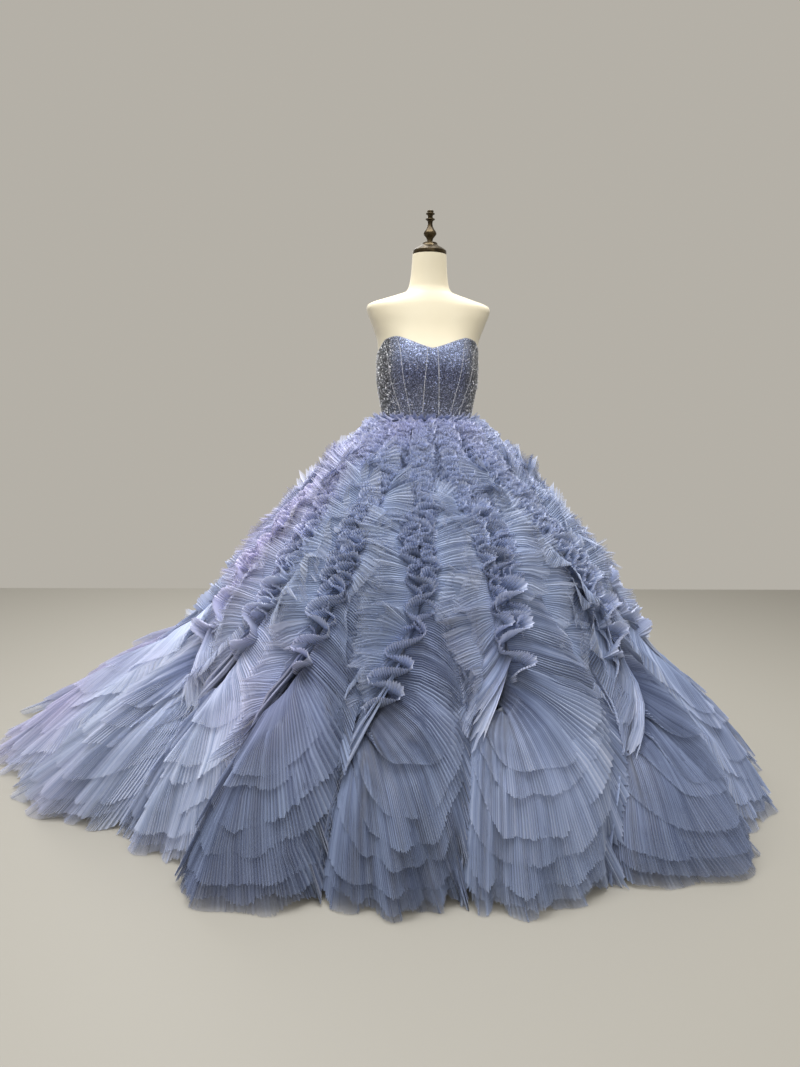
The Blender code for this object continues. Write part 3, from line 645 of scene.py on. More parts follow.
def bent_path(root, tip, out, level, pull, target):
    """A quadratic curve from a root to a tip: out is 0 at the root and 1 at the tip.

    It bends at the middle of the straight line, raised where the pleat is level and pulled to a target.
    """
    rise = PATH_SAG * (level * np.abs(tip[0] - root[0]))
    middle = (root[0] + tip[0]) / 2.0, (root[1] + tip[1]) / 2.0 - rise
    bend = [m + (t - m) * pull for m, t in zip(middle, target)]
    a, b, c = (1.0 - out) ** 2, 2.0 * out * (1.0 - out), out ** 2
    return [a * r + b * m + c * t for r, m, t in zip(root, bend, tip)]


def fan_paths(number, far, out, layer):
    """Across and down in a fan. far is 0 at the line's end, 1 at the top of the far flank, below 0 beyond it.

    The tips run along the lower edge and then up the flank, and the roots climb the sewn line. Beyond the
    line's end the pleats first run out to the near valley and then down along it.
    """
    side, turn, side_low = far_side(number), layer["turn"], layer["side_low"]
    end_down = line_end(number)
    end_across = float(sewn_line(number, end_down))
    beyond = np.clip(-far / layer["beyond"], 0.0, 1.0)
    below = np.clip(far / turn, 0.0, 1.0)
    on_side = np.clip((far - turn) / (1.0 - turn), 0.0, 1.0)
    width = layer["width"] + (layer["flank"] - layer["width"]) * ease(on_side / 0.30)
    low_across = end_across + (side * width - end_across) * below + (-side * width - end_across) * beyond
    low_down = side_low + (layer["middle_low"] - side_low) * swell(low_across / width)
    tip_across = np.where(far > turn, side * width, low_across)
    tip_down = np.where(far > turn, side_low + (LINE_TOP + 0.01 - side_low) * on_side, low_down)
    corner = end_down - 0.01 - 0.060 * (1.0 + abs(end_across))
    drop = (side_low - corner) * (1.0 - on_side) ** 2.2 - 0.09 * on_side * (1.0 - on_side)
    root_down = np.where(far > turn, tip_down - drop, end_down + (corner - end_down) * below)
    root_down = np.clip(root_down, LINE_TOP, end_down)
    under = 0.15 * ease((root_down - SPLIT + 0.06) / 0.08) * (1.0 - beyond)
    root_across = sewn_line(number, root_down) - side * under
    target = -side * (width + 0.10), end_down + 0.05
    return bent_path((root_across, root_down), (tip_across, tip_down), out, ease(far / (1.6 * turn)),
                     0.95 * beyond ** 1.3, target)


def flap_paths(number, far, out, layer):
    """Across and down in the near ruffle. far is 0 at its last pleat, along the sewn line, 1 at the top."""
    side, reach = -far_side(number), FLAP_REACH[number]
    end_down = line_end(number)
    tip_low = end_down + 0.125 + 0.20 * (reach - USUAL_REACH) - layer["short"]
    tip_down = tip_low + (LINE_TOP + 0.01 - tip_low) * far
    tip_across = side * (reach + (layer["flank"] - reach) * ease(far / 0.35)) + 0.0 * out
    drop = (tip_low - SPLIT) * (1.0 - far) ** 2.6 - 0.09 * far * (1.0 - far)
    root_down = np.clip(tip_down - drop, LINE_TOP, SPLIT)
    middle = (SPLIT + end_down) / 2.0 + 0.02
    follow = (1.0 - far) ** 5
    return bent_path((sewn_line(number, root_down), root_down), (tip_across, tip_down), out, 1.0 - follow,
                     follow, (sewn_line(number, np.array(middle)), middle))


# %% [markdown]
# Nothing on this gown is quite regular. Gentle random waves make an edge flute, and every pleat has its own
# small share of chance. Two columns of points make one pleat: one is moved out and the other in.


# %% Waves, folds and chance
def waves(rng, along, count, lowest, highest):
    """A gentle random wave: a sum of sines with random phases, about 1 high."""
    total = np.zeros_like(along)
    for _ in range(count):
        total = total + np.sin(along * rng.uniform(lowest, highest) + rng.uniform(0.0, 2.0 * math.pi))
    return total / math.sqrt(count)


def ridges(columns):
    """1 on every other column, the ridges, and -1 on those between, the grooves."""
    return np.where(np.arange(columns) % 2 == 0, 1.0, -1.0)


def streaks(rng, columns):
    """A random number for each pleat, the same on its two columns."""
    return np.repeat(rng.normal(size=(columns + 1) // 2), 2)[:columns]


def surface_normals(grid):
    """Unit normals of a grid, from its rows and columns."""
    return unit(np.cross(np.gradient(grid, axis=0), np.gradient(grid, axis=1)))


def bedding(down):
    """How deep the wide ruffles lie under the frills near the waist, in metres."""
    return 0.024 * fade((down - 0.16) / 0.30)


def standing(number, across, down):
    """A cascade's height, also a little beyond its valley, where its cloth lies on its neighbour's."""
    over = np.maximum(np.abs(across) - 1.0, 0.0)
    inside = np.sign(across) * (np.abs(across) - 2.0 * over)
    return ruffle_height(number, inside, down) + 0.010 * ease(over / 0.05)


# %% [markdown]
# Near the waist the wide ruffles lie low, because there a crowd of narrow frills stands on them. Each layer
# is raised to the height of its solid, and its free edge lifts and flutes. Each cascade gets its own share of
# painted light, most on the train, and the lowest cloth at the front gets painted shade.

# %% One layer of pleated net
# How much painted light each cascade gets over the darkest one, and how much painted shade its lowest cloth
# gets
PAINTED_LIGHT = [0.16, 0.14, 0.03, 0.02, 0.06, 0.02, 0.08, 0.04, 0.04, 0.04, 0.04, 0.06, 0.10, 0.16, 0.20]
HEM_PAINTED_SHADE = [0.00, 0.05, 1.00, 0.85, 0.50, 0.80, 0.50, 0.30, 0.20, 0.10, 0.10, 0.10, 0.10, 0.00, 0.00]
FLOOR_GAP, HEIGHT_MIN = 0.0012, 0.002   # net stays so far above the floor and off the foundation
EDGE_MAX = 1.09                         # how far across a layer may lap over its neighbour
USUAL = dict(start=0.0, short=0.0, ragged=0.010, bunch=0.0004, stray=0.05, fold=0.0020, thick=0.0)
LAYER_WAVES = (3, 9.0, 20.0), (4, 40.0, 90.0), (3, 150.0, 260.0)    # how many sines, slowest and quickest


def sheet_of(points, lit_tone, cover, way=1):
    """One grid of a piece. Where way is -1 its columns are turned round, so that its faces look outwards."""
    lit_tone = np.clip(lit_tone, 0.0, 1.0)
    cover = np.broadcast_to(cover, lit_tone.shape)
    return {"points": points[:, ::way], "lit_tone": lit_tone[:, ::way], "cover": cover[:, ::way]}


def net_layer(number, rng, paths, ends, layer, pleats):
    """One layer of net: the pleats' paths, raised to the ruffle's height and folded."""
    flap = paths is flap_paths
    way = 1 if (far_side(number) > 0.0) != flap else -1
    columns = 2 * pleats + 1
    far = np.linspace(*ends, columns)[None, :]
    out = (layer["start"] + (1.0 - layer["start"]) * np.linspace(0.0, 1.0, layer["rows"]) ** 0.9)[:, None]
    ridge = ridges(columns)[None, :]
    slow, flutes, fingers = (waves(rng, far, *kind) for kind in LAYER_WAVES)

    # Where each point lies on the cascade: the free edge is ragged, and single pleats stray
    uneven = 0.005 * ridge + 0.005 * rng.normal(size=(1, columns)) + layer["ragged"] * flutes
    ragged = 1.0 + uneven * out ** 3
    if flap:
        ragged = ragged * (1.0 - (0.16 + 0.05 * fingers) * fade(far / 0.09) * out ** 2)
    free = ease((far - ends[0]) / 0.03) * ease((ends[1] - far) / 0.03)
    bunched = far + layer["bunch"] * fingers * out ** 2 * free
    across, down = paths(number, bunched, np.minimum(out * ragged, 1.05), layer)
    edge = max(EDGE_MAX, FLAP_REACH[number] + 0.04) if flap else EDGE_MAX
    across = np.clip(across * (1.0 + layer["stray"] * slow * out ** 2), -edge, edge)
    down = np.clip(down, 0.0, 1.0)

    # How high it stands: as its solid, with an edge that lifts and flutes most at mid height
    rounded = swell(across)
    proud = standing(number, across, down) - (layer["sunk"] + bedding(down)) * rounded
    steep = ease((0.74 - down) / 0.10) * ease((down - 0.15) / 0.25)
    lift = (0.009 + 0.011 * steep) * out ** 3 + (0.007 + 0.010 * steep) * flutes * out ** 2
    lift = lift + 0.007 * slow * out
    proud = proud * (0.70 + 0.30 * ease(out / 0.20)) + lift * (0.35 + 0.65 * rounded)
    if flap:
        proud = proud + 0.022 * fade(far / 0.14) * ease(out / 0.20)
    points = skirt_point(azimuth_on(number, across, down), down, np.maximum(proud, HEIGHT_MIN))

    # The folds, square to the surface and deeper towards the free edge
    uneven = 1.0 + 0.22 * rng.normal(size=(1, columns)).clip(-1.5, 1.5)
    depth = layer["fold"] * (0.60 + 0.40 * ease(out / 0.5)) * uneven
    points = points + surface_normals(points) * (way * ridge * depth)[..., None]
    points[..., 2] = np.maximum(points[..., 2], FLOOR_GAP)

    # Lighter free edges, and painted light: lighter ridges, darker grooves, roots and hem. Cover: sheer at
    # the free edge
    contrast = 0.08 if flap else 0.15
    lit_tone = 0.5 + PAINTED_LIGHT[number] + contrast * ridge * (0.55 + 0.45 * ease(out / 0.3)) + 0.06 * fingers
    lit_tone = lit_tone + 0.06 * streaks(rng, columns)
    # Painted light near the waist and painted shade at the roots; the free edges are lighter
    lit_tone = lit_tone + 0.10 * fade(down / 0.5) + 0.20 * out ** 5 - 0.10 * fade(out / 0.6)
    # Painted shade on the lower cloth, by cascade, and on all of it near the floor
    shade = 0.42 * HEM_PAINTED_SHADE[number] * (0.35 if flap else 1.0)
    lit_tone = lit_tone - shade * ease((down - 0.42) / 0.24) - 0.12 * ease((down - 0.80) / 0.20)
    # A painted highlight on the flap's last pleat, which rolls over
    if flap:
        lit_tone = lit_tone + 0.20 * fade(far / 0.09)
    sheer = layer["cover"][1] + layer["thick"] * ease((np.abs(across) - 0.75) / 0.20)
    cover = layer["cover"][0] + (sheer - layer["cover"][0]) * ease((out - 0.55) / 0.42)
    return sheet_of(points, lit_tone, cover, way)


# %% [markdown]
# The frills are narrow ribbons of the same net that stand on the cloth and meander down it. A ribbon's root
# is a wavy line on the ruffle, and its free edge swings wider than its root, as a lettuce leaf's does.


# %% The shape of a ribbon
RIBBON_PITCH, RIBBON_FOLD = 0.0055, 0.0017
STRIP_GAP = 0.0015                      # a strip's points stay so far above the floor
STRIP_INSIDE = 0.97                     # its root stays between the valleys
SKIRT_RUN = 1.42                        # metres down a cascade, from the waist to the hem


def strip_columns(number, fine, place, pitch):
    """Where each column of a strip stands on its root's line, down and across: pleats of one pitch."""
    root = skirt_point(azimuth_on(number, place, fine), fine, 0.0 * fine)
    run = np.concatenate([[0.0], np.cumsum(np.linalg.norm(np.diff(root, axis=0), axis=1))])
    at = np.interp(np.linspace(0.0, run[-1], 2 * int(run[-1] / pitch) + 1), run, fine)
    return at, np.interp(at, fine, place)


def root_points(number, place, at, sunk):
    """A strip's root on the ruffle, and the ways out of the skirt and along the root."""
    base = np.maximum(ruffle_height(number, place, at) - sunk - bedding(at) * swell(place), HEIGHT_MIN)
    azimuth = azimuth_on(number, place, at)
    root = skirt_point(azimuth, at, base)
    return root, outward(azimuth, at), np.gradient(root, axis=0)


def ribbon(number, rng, across, span, swing, wave, height,
           rows=4, flare=0.010, sunk=0.0, wander=0.0, grow=0.3):
    """A standing ribbon: root on the ruffle, free edge at a height, sideways waves of a length in metres.

    The root's place across is a number plus a swing of a wave; the free edge's flare lags behind it.
    """
    fine = np.linspace(*span, 900)

    # The root's line: waves that grow longer towards the hem
    stride = wave * (0.75 + 0.60 * ease(fine / 0.6))
    turns = np.cumsum(np.gradient(fine) * SKIRT_RUN / stride) * 2.0 * math.pi
    turns = turns + 0.8 * waves(rng, fine, 3, 12.0, 30.0) + rng.uniform(0.0, 6.28)
    ends = ease((fine - span[0]) / 0.012) * ease((span[1] - fine) / 0.03)
    share = (fine - span[0]) / (span[1] - span[0])
    aside = swing * (0.8 + grow * share ** 2) * np.sin(turns) * ends / half_width(number, fine)
    place = across + wander * share + sewn_line(number, fine) * (1.0 - abs(across)) + aside
    at, place = strip_columns(number, fine, np.clip(place, -STRIP_INSIDE, STRIP_INSIDE), RIBBON_PITCH)
    lag, ended, low = (np.interp(at, fine, value) for value in (np.sin(turns + 0.9) * ends, ends, share ** 2))
    root, way_out, along = root_points(number, place, at, sunk)
    sideways = unit(np.cross(way_out, along))

    # From the root to the free edge: height, sideways flare and the pleats' folds
    out = np.linspace(0.0, 1.0, rows)[:, None]
    ridge = ridges(len(at))[None, :]
    tall = height * (1.0 + 0.18 * waves(rng, at, 3, 25.0, 80.0) + 0.04 * rng.normal(size=len(at)))
    tall = tall * (0.35 + 0.65 * ended) * (1.0 + 0.30 * grow * low)
    lean = flare * (lag + 0.35 * waves(rng, at, 3, 60.0, 140.0))
    shift = lean[None, :] * out ** 1.6 + ridge * RIBBON_FOLD * (0.5 + out)
    points = (root[None] + way_out[None] * (tall[None, :] * (out + 0.04 * ridge * out ** 2))[..., None]
              + sideways[None] * shift[..., None])
    points[..., 2] = np.maximum(points[..., 2], STRIP_GAP)
    # Painted light: lighter ridges and tips, lighter near the waist and on the loops near the foot; painted
    # shade at the roots near the waist
    lit_tone = 0.28 + 0.8 * PAINTED_LIGHT[number] + 0.18 * ridge * (0.5 + 0.5 * out) + 0.55 * out ** 1.3
    lit_tone = lit_tone - 0.20 * fade(at / 0.55) * (1.0 - 2.0 * out)
    lit_tone = lit_tone + 0.18 * fade(at / 0.24) + 0.12 * ease((at - 0.40) / 0.16)
    return sheet_of(points, lit_tone, 1.0 - 0.20 * out ** 2)


# %% [markdown]
# Between a frill and its valley lie plumes: strips of pleated net sewn down along a line, whose pleats arch
# over towards the valley one above the other, like feathers on a wing.

# %% The shape of a plume
PLUME_PITCH, PLUME_FOLD, PLUME_ROWS, PLUME_SUNK = 0.0044, 0.0010, 4, 0.012
PLUME_COVER = 0.95, 0.22                # at the root and at the tip
PLUME_LEAN = 34.0, 52.0, 14.0, 22.0     # degrees: at the root, more at the tip, in slow waves, in flutes
PLUME_WAVES = (3, 10.0, 25.0), (4, 45.0, 95.0), (3, 160.0, 300.0)


def plume(number, rng, across, span, width, side):
    """A strip whose pleats rise from a line down the cascade and arch over to one side.

    The lean of a pleat grows from its root to its tip, and waves along the strip make its free edge flute.
    The upper pleats point up and the lower ones down, as the sticks of an opened fan do.
    """
    fine = np.linspace(*span, 500)
    ends = ease((fine - span[0]) / 0.05) * ease((span[1] - fine) / 0.06)
    line = across + sewn_line(number, fine) * (1.0 - abs(across)) + 0.11 * waves(rng, fine, 3, 8.0, 24.0)
    at, place = strip_columns(number, fine, np.clip(line, -STRIP_INSIDE, STRIP_INSIDE), PLUME_PITCH)
    ended = np.interp(at, fine, ends)
    root, way_out, along = root_points(number, place, at, PLUME_SUNK)
    along = unit(along)
    sideways = unit(np.cross(way_out, along)) * side

    # Each pleat is a short arc: its lean grows step by step, and the steps add up to rise and reach
    out = np.linspace(0.0, 1.0, PLUME_ROWS)[:, None]
    ridge = ridges(len(at))[None, :]
    slow, flutes, fingers = (waves(rng, at, *kind) for kind in PLUME_WAVES)
    upright, more, swaying, fluting = PLUME_LEAN
    lean = math.radians(upright) + np.radians(more + swaying * slow + fluting * flutes)[None, :] * out
    middle = (lean[1:] + lean[:-1]) / 2.0
    rise, reach = (np.concatenate([0.0 * out[:1] * ridge, np.cumsum(part, axis=0)]) / (PLUME_ROWS - 1)
                   for part in (np.cos(middle), np.sin(middle)))
    streak = streaks(rng, len(at))
    tall = 1.0 + 0.20 * slow + 0.10 * flutes + 0.07 * streak + 0.02 * ridge
    tall = width * np.clip(tall, 0.5, 1.5) * (0.45 + 0.55 * ended)

    # Along the strip the pleats open like a fan
    opening = 0.110 * ((at - span[0]) / (span[1] - span[0]) - 0.48)
    stray = (0.004 * fingers + 0.020 * flutes + opening)[None, :] * out ** 1.5
    points = (root[None] + way_out[None] * (rise * tall)[..., None]
              + sideways[None] * (reach * tall)[..., None] + along[None] * stray[..., None])
    depth = side * ridge * PLUME_FOLD * (0.4 + 0.6 * out)
    points = points - surface_normals(points) * depth[..., None]
    points[..., 2] = np.maximum(points[..., 2], STRIP_GAP)
    # Painted light: lighter ridges and tips
    lit_tone = 0.38 + PAINTED_LIGHT[number] + 0.12 * ridge * (0.4 + 0.6 * out) + 0.26 * out ** 2
    lit_tone = lit_tone + 0.05 * fingers + 0.06 * streak
    dense, sheer = PLUME_COVER
    return sheet_of(points, lit_tone, dense + (sheer - dense) * ease((out - 0.4) / 0.60), -1 if side > 0.0 else 1)


# %% [markdown]
# Each wide ruffle piece holds three layers of fan and two of flap. The upper ones are shorter, so their free
# edges show one above the other. The same piece carries its plumes and the small frills that crowd its flanks
# near the waist.

# %% The wide ruffles
SIDES = [("front", 2, 5), ("right", 6, 9), ("back", 10, 12), ("left", 13, 16)]
WING_SEED, TIER_SEED, FRILL_SEED, WAIST_SEED, STONE_SEED = 100, 300, 500, 700, 900
WING_STRIP = 0.25
WING_SIZES = ("width", "flank", "side_low", "middle_low", "sunk", "short", "rows", "cover")
WING_LAYERS = [
    (0.97, 1.06, 0.755, 0.885, 0.012, 0.00, 7, (1.0, 0.50)),
    (0.90, 0.80, 0.720, 0.846, 0.006, 0.03, 6, (0.95, 0.42)),
    (0.84, 0.55, 0.685, 0.802, 0.000, 0.06, 6, (0.95, 0.42)),
]
FAN_PLEATS, FLAP_PLEATS = 185, 115
FLANK_FRILLS = [                        # across, how far down, by how much it wanders out
    (-0.82, 0.30, 0.02), (-0.58, 0.36, 0.06), (-0.34, 0.43, 0.12),
    (0.34, 0.43, -0.12), (0.58, 0.36, -0.06), (0.82, 0.30, -0.02),
]
CROWDED = (2, 3, 4, 5)                  # the front cascades have two more frills beside their middle:
CROWD_FRILLS = (-0.27, 0.42), (0.27, 0.46)      # across, how far down
# Where each cascade's plumes begin, as a share of the places below: a smaller one is nearer to the waist
PLUME_START = [0.40, 0.40, 0.60, 1.00, 0.80, 0.50, 0.45, 0.45, 0.40, 0.40, 0.45, 0.50, 0.45, 0.40, 0.40]
PLUMES = [                              # on the near side, across, from and to how far down, width in metres
    (True, 0.14, 0.26, 0.58, 0.115), (True, 0.46, 0.22, 0.66, 0.100), (True, 0.78, 0.16, 0.70, 0.080),
    (False, 0.16, 0.26, 0.47, 0.120), (False, 0.50, 0.20, 0.50, 0.105), (False, 0.78, 0.16, 0.64, 0.080),
]


def fan_shape(number, sizes, row, **usual):
    """A layer's sizes, with the shares of its edge that lie below the foot and beyond the line's end."""
    aside = abs(float(sewn_line(number, line_end(number))))
    shares = {"turn": 0.07 + 0.16 * (1.0 + aside), "beyond": 0.04 + 0.20 * (1.0 - aside)}
    return {**USUAL, **usual, **dict(zip(sizes, row)), **shares}


for number in range(len(CASCADES)):
    rng = np.random.default_rng(WING_SEED + number)
    sheets = []
    for row in WING_LAYERS:
        shape = fan_shape(number, WING_SIZES, row)
        shape["middle_low"] += 0.012 * rng.normal()
        shape["flank"] += 0.06 * rng.normal()
        sheets.append(net_layer(number, rng, fan_paths, (-shape["beyond"], 1.0), shape, FAN_PLEATS))
        if row is not WING_LAYERS[1]:       # the middle layer has no flap
            sheets.append(net_layer(number, rng, flap_paths, (0.0, 1.0), shape, FLAP_PLEATS))
    for across, low_end, wander in FLANK_FRILLS:
        span = (0.008 + 0.02 * rng.random(), low_end + 0.05 * rng.random())
        sheets.append(ribbon(number, rng, across, span, 0.013, 0.052, 0.033, rows=3, wander=wander))
    for near, across, start, low_end, width in PLUMES:
        side = far_side(number) * (-1.0 if near else 1.0)
        span = (start * PLUME_START[number] + 0.03 * rng.random(), low_end + 0.04 * rng.normal())
        sheets.append(plume(number, rng, side * across, span, width, side))
    if number in CROWDED:
        for across, low_end in CROWD_FRILLS:
            span = (0.03, low_end)
            sheets.append(ribbon(number, rng, across, span, 0.015, 0.050, 0.037, rows=3, flare=0.013))
    wing, cut = sew(f"wing_{number + 1:02d}", sheets, net, WING_STRIP)
print("one wide ruffle has", triangles(wing), "triangles and", round(cut, 1), "m of 250 mm strip")

# %% [markdown]
# Under the fans two more ruffles reach the floor. They are the same fans with longer pleats and sheer, ragged
# tips. They reach a little past the valleys, so that the lobes of the hem close over the foundation.

# %% The ruffles at the hem
TIER_SIZES = ("width", "flank", "side_low", "middle_low", "sunk", "cover", "bunch", "ragged")
TIER_LAYERS = {
    "hem_tier_upper": [(1.03, 1.03, 0.925, 0.958, 0.022, (1.0, 0.45), 0.0004, 0.010),
                       (0.97, 0.97, 0.850, 0.923, 0.015, (1.0, 0.42), 0.0004, 0.010)],
    "hem_tier_lower": [(1.03, 1.03, 0.985, 1.000, 0.040, (0.92, 0.28), 0.0040, 0.030),
                       (0.97, 0.97, 0.955, 0.982, 0.028, (0.95, 0.36), 0.0015, 0.010)],
}
TIER_USUAL = dict(rows=5, start=0.40, stray=0.02, thick=0.35)
TIER_PLEATS, TIER_FLANK = 130, 0.22

for tier, tier_layers in TIER_LAYERS.items():
    for side, first, last in SIDES:
        sheets = []
        for count in range(first, last + 1):
            number = count % len(CASCADES)
            rng = np.random.default_rng(TIER_SEED + number)
            for row in tier_layers:
                shape = fan_shape(number, TIER_SIZES, row, **TIER_USUAL)
                ends = (-shape["beyond"], shape["turn"] + TIER_FLANK)
                sheets.append(net_layer(number, rng, fan_paths, ends, shape, TIER_PLEATS))
        hem, cut = sew(f"{tier}_{side}", sheets, net, WING_STRIP)
print("the last hem piece has", triangles(hem), "triangles and", round(cut, 1), "m of 250 mm strip")

# %% [markdown]
# Down the middle of each cascade run three ribbons side by side. The middle one is the tallest, and towards
# the foot its waves grow into loops.

# %% The frills
FRILL_STRIP, FRILL_SUNK = 0.045, 0.012
FRILL_END = [0.64] * len(CASCADES)      # how far down the middle ribbon goes
FRILL_END[3] = 0.715

for number in range(len(CASCADES)):
    rng = np.random.default_rng(FRILL_SEED + number)
    middle = (0.012, FRILL_END[number])
    ribbons = [                         # across, span, swing, wave, height, flare, growth
        (0.0, middle, 0.019, 0.080, 0.046, 0.015, 1.0),
        (-0.16, (0.010, 0.57), 0.015, 0.062, 0.037, 0.012, 0.3),
        (0.16, (0.010, 0.55), 0.015, 0.066, 0.037, 0.012, 0.3),
    ]
    sheets = [ribbon(number, rng, *sizes, flare=flare, sunk=FRILL_SUNK, grow=grow)
              for *sizes, flare, grow in ribbons]
    frill, cut = sew(f"frill_{number + 1:02d}", sheets, net, FRILL_STRIP)
print("one frill has", triangles(frill), "triangles and", round(cut, 1), "m of 45 mm strip")

# %% [markdown]
# Three more ribbons are sewn into the waist seam and go all the way round. They lean out by more and more, so
# that they hide the seam and spread over the top of the skirt.

# %% The ruffle at the waist
WAIST_PLEATS, WAIST_ROWS, WAIST_STRIP = 520, 6, 0.05
WAIST_RINGS = ((0.022, 0.017), (0.038, 0.004), (0.050, -0.016))     # reach and rise in metres


def waist_ring(rng, reach, rise):
    """A closed ring of net: out from the waist by reach and up by rise, with waves round it."""
    columns = 2 * WAIST_PLEATS
    turn = np.arange(columns) / columns
    out = np.linspace(0.0, 1.0, WAIST_ROWS)[:, None]
    ridge = ridges(columns)
    ripple = 0.0 * turn
    for count in (17, 29, 46, 71):
        ripple = ripple + 0.6 * np.sin(2.0 * math.pi * (count * turn + rng.random()))
    streak = streaks(rng, columns)
    tall = 1.0 + 0.14 * np.sin(2.0 * math.pi * (41 * turn + rng.random())) + 0.07 * streak
    seam = foundation_point(360.0 * turn, np.full(columns, 0.002))
    level = unit(seam * np.array([1.0, 1.0, 0.0]))
    proud = 0.0015 + reach * tall[None, :] * out
    points = seam[None] + level[None] * proud[..., None]
    points[..., 2] += rise * np.sin(out * 1.3) * tall[None, :]
    points[..., 2] += 0.006 * ripple[None, :] * out ** 1.5 + 0.0009 * ridge * out
    # Painted light: lighter ridges and outer edge, painted shade near the seam
    lit_tone = 0.36 + 0.18 * ridge[None, :] + 0.46 * out ** 1.2
    return {**sheet_of(points, lit_tone, 1.0 - 0.60 * out ** 2), "around": True}


rng = np.random.default_rng(WAIST_SEED)
rings = [waist_ring(rng, reach, rise) for reach, rise in WAIST_RINGS]
waist_ruffle, cut = sew("waist_ruffle", rings, net, WAIST_STRIP)
print("the waist ruffle has", triangles(waist_ruffle), "triangles and", round(cut, 2), "m of 50 mm strip")

# %% [markdown]
# Under the ruffles is the plain bell that they are sewn on, four gores of stiff net. Little of it shows,
# between the lobes of the hem and from below, so it is darker and quite plain.

# %% The foundation
MESH_DARK, MESH_LIGHT = (0.12, 0.145, 0.22), (0.21, 0.245, 0.35)
GORE_DEPTH, GORE_ROWS, GORE_COLUMNS, GORE_LENGTH = -0.0012, 34, 16, 1.3
GORE_FLOOR, GORE_TUCK = 0.0005, 0.0006  # above the floor at the hem, and under the seam at the waist
foundation_net = Finish("foundation_net", (0.17, 0.20, 0.30), 0.9, Sheen_Weight=0.2)
mesh_pattern = foundation_net.noise(900.0, 1.0)
foundation_net.set(Base_Color=foundation_net.ramp(mesh_pattern, (0.35, MESH_DARK), (0.65, MESH_LIGHT)))

for side, first, last in SIDES:
    down = np.linspace(0.0, 1.0, GORE_ROWS)[:, None]
    share = np.linspace(0.0, 1.0, GORE_COLUMNS * (last - first + 1) + 1)[None, :]
    ends = []
    for number, edge in ((first, -1.0), (last, 1.0)):
        lap = 360.0 if number >= len(CASCADES) else 0.0
        ends.append(azimuth_on(number % len(CASCADES), np.array(edge), down) + lap)
    azimuth = ends[0] + (ends[1] - ends[0]) * share
    gore = skirt_point(azimuth, down + 0.0 * azimuth, np.full(azimuth.shape, GORE_DEPTH))
    gore[..., 2] = np.maximum(gore[..., 2], GORE_FLOOR)
    gore[0, :, 2] -= GORE_TUCK
    bell, cut = sew(f"foundation_{side}", [{"points": gore, "pleated": False}], foundation_net, GORE_LENGTH)
print("a gore has", triangles(bell), "triangles and is", round(cut, 2), "m wide on average")

# %% [markdown]
# The form is a stuffed body of cream jersey on a turned pole. A closed shell is made from rings of points,
# with a flat end at the neck and at the bottom.


# %% The dress form
def closed_piece(name, node, rings, finish):
    """A closed shell in a solid's place, from rings of points, from the bottom ring to the top one."""
    rows, columns = rings.shape[:2]
    faces = [quad[::-1] for quad in grid_quads(rows, columns, True).tolist()]
    faces.append(list(reversed(range(columns))))
    faces.append([(rows - 1) * columns + column for column in range(columns)])
    piece = add_piece(name, mesh_of(name, rings, faces, 40.0), finish)
    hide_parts(node)
    return piece


form_cloth = Finish("form_cloth", (0.72, 0.66, 0.50), 0.8, Sheen_Weight=0.2)
weave = form_cloth.noise(1400.0, 2.0)
warmth = form_cloth.noise(5.0, 3.0)
form_cloth.set(Base_Color=form_cloth.ramp(warmth, (0.3, (0.69, 0.62, 0.46)), (0.7, (0.76, 0.70, 0.54))))
form_cloth.bump(weave, 0.0006, 0.35)

FORM_COLUMNS, SHOULDER, CREASE, BODY_ROWS, NECK_ROWS = 96, 1.37, 1.374, 70, 60
heights = np.concatenate([np.linspace(TORSO_BOTTOM, SHOULDER, BODY_ROWS),
                          np.linspace(CREASE, NECK_TOP, NECK_ROWS)])[:, None]
azimuths = (np.arange(FORM_COLUMNS) * 360.0 / FORM_COLUMNS)[None, :]
rings = torso_point(azimuths + 0.0 * heights, heights + 0.0 * azimuths)
torso = closed_piece("form_body", "form_torso", rings, form_cloth)
print("the form has", len(torso.data.polygons), "faces")

# %% [markdown]
# The finial, the pole and the base are turned pieces: a profile of radius and height goes once round the
# axis. The bronze is worn to brass in random patches, and the pole's polish runs lengthwise.


# %% Finial, pole and base
def turned(name, node, profile, finish, segments):
    """A turned solid from a profile of (radius, height), top to bottom."""
    profile = np.array(profile[::-1], float)
    angle = np.arange(segments) * 2.0 * math.pi / segments
    radius, height = profile[:, :1], profile[:, 1:]
    rings = np.stack([radius * np.sin(angle), -radius * np.cos(angle), height + 0.0 * angle], axis=-1)
    return closed_piece(name, node, rings, finish)


bronze = Finish("finial_bronze", (0.085, 0.065, 0.045), 0.34, 0.85)
wear = bronze.noise(60.0, 4.0)
bronze.set(Base_Color=bronze.ramp(wear, (0.35, (0.045, 0.033, 0.019)), (0.62, (0.10, 0.074, 0.038)),
                                  (0.8, (0.19, 0.135, 0.062))))
bronze.set(Roughness=bronze.math("ADD", bronze.math("MULTIPLY", wear, 0.3), 0.2))
steel = Finish("pole_steel", (0.50, 0.50, 0.52), 0.3, 1.0)
polish = steel.noise(30.0, 3.0, (1.0, 1.0, 0.05))
steel.set(Roughness=steel.math("ADD", steel.math("MULTIPLY", polish, 0.25), 0.2))
base_paint = Finish("base_paint", (0.05, 0.05, 0.055), 0.45, 0.3)
base_paint.bump(base_paint.noise(500.0, 2.0), 0.0004, 0.4)

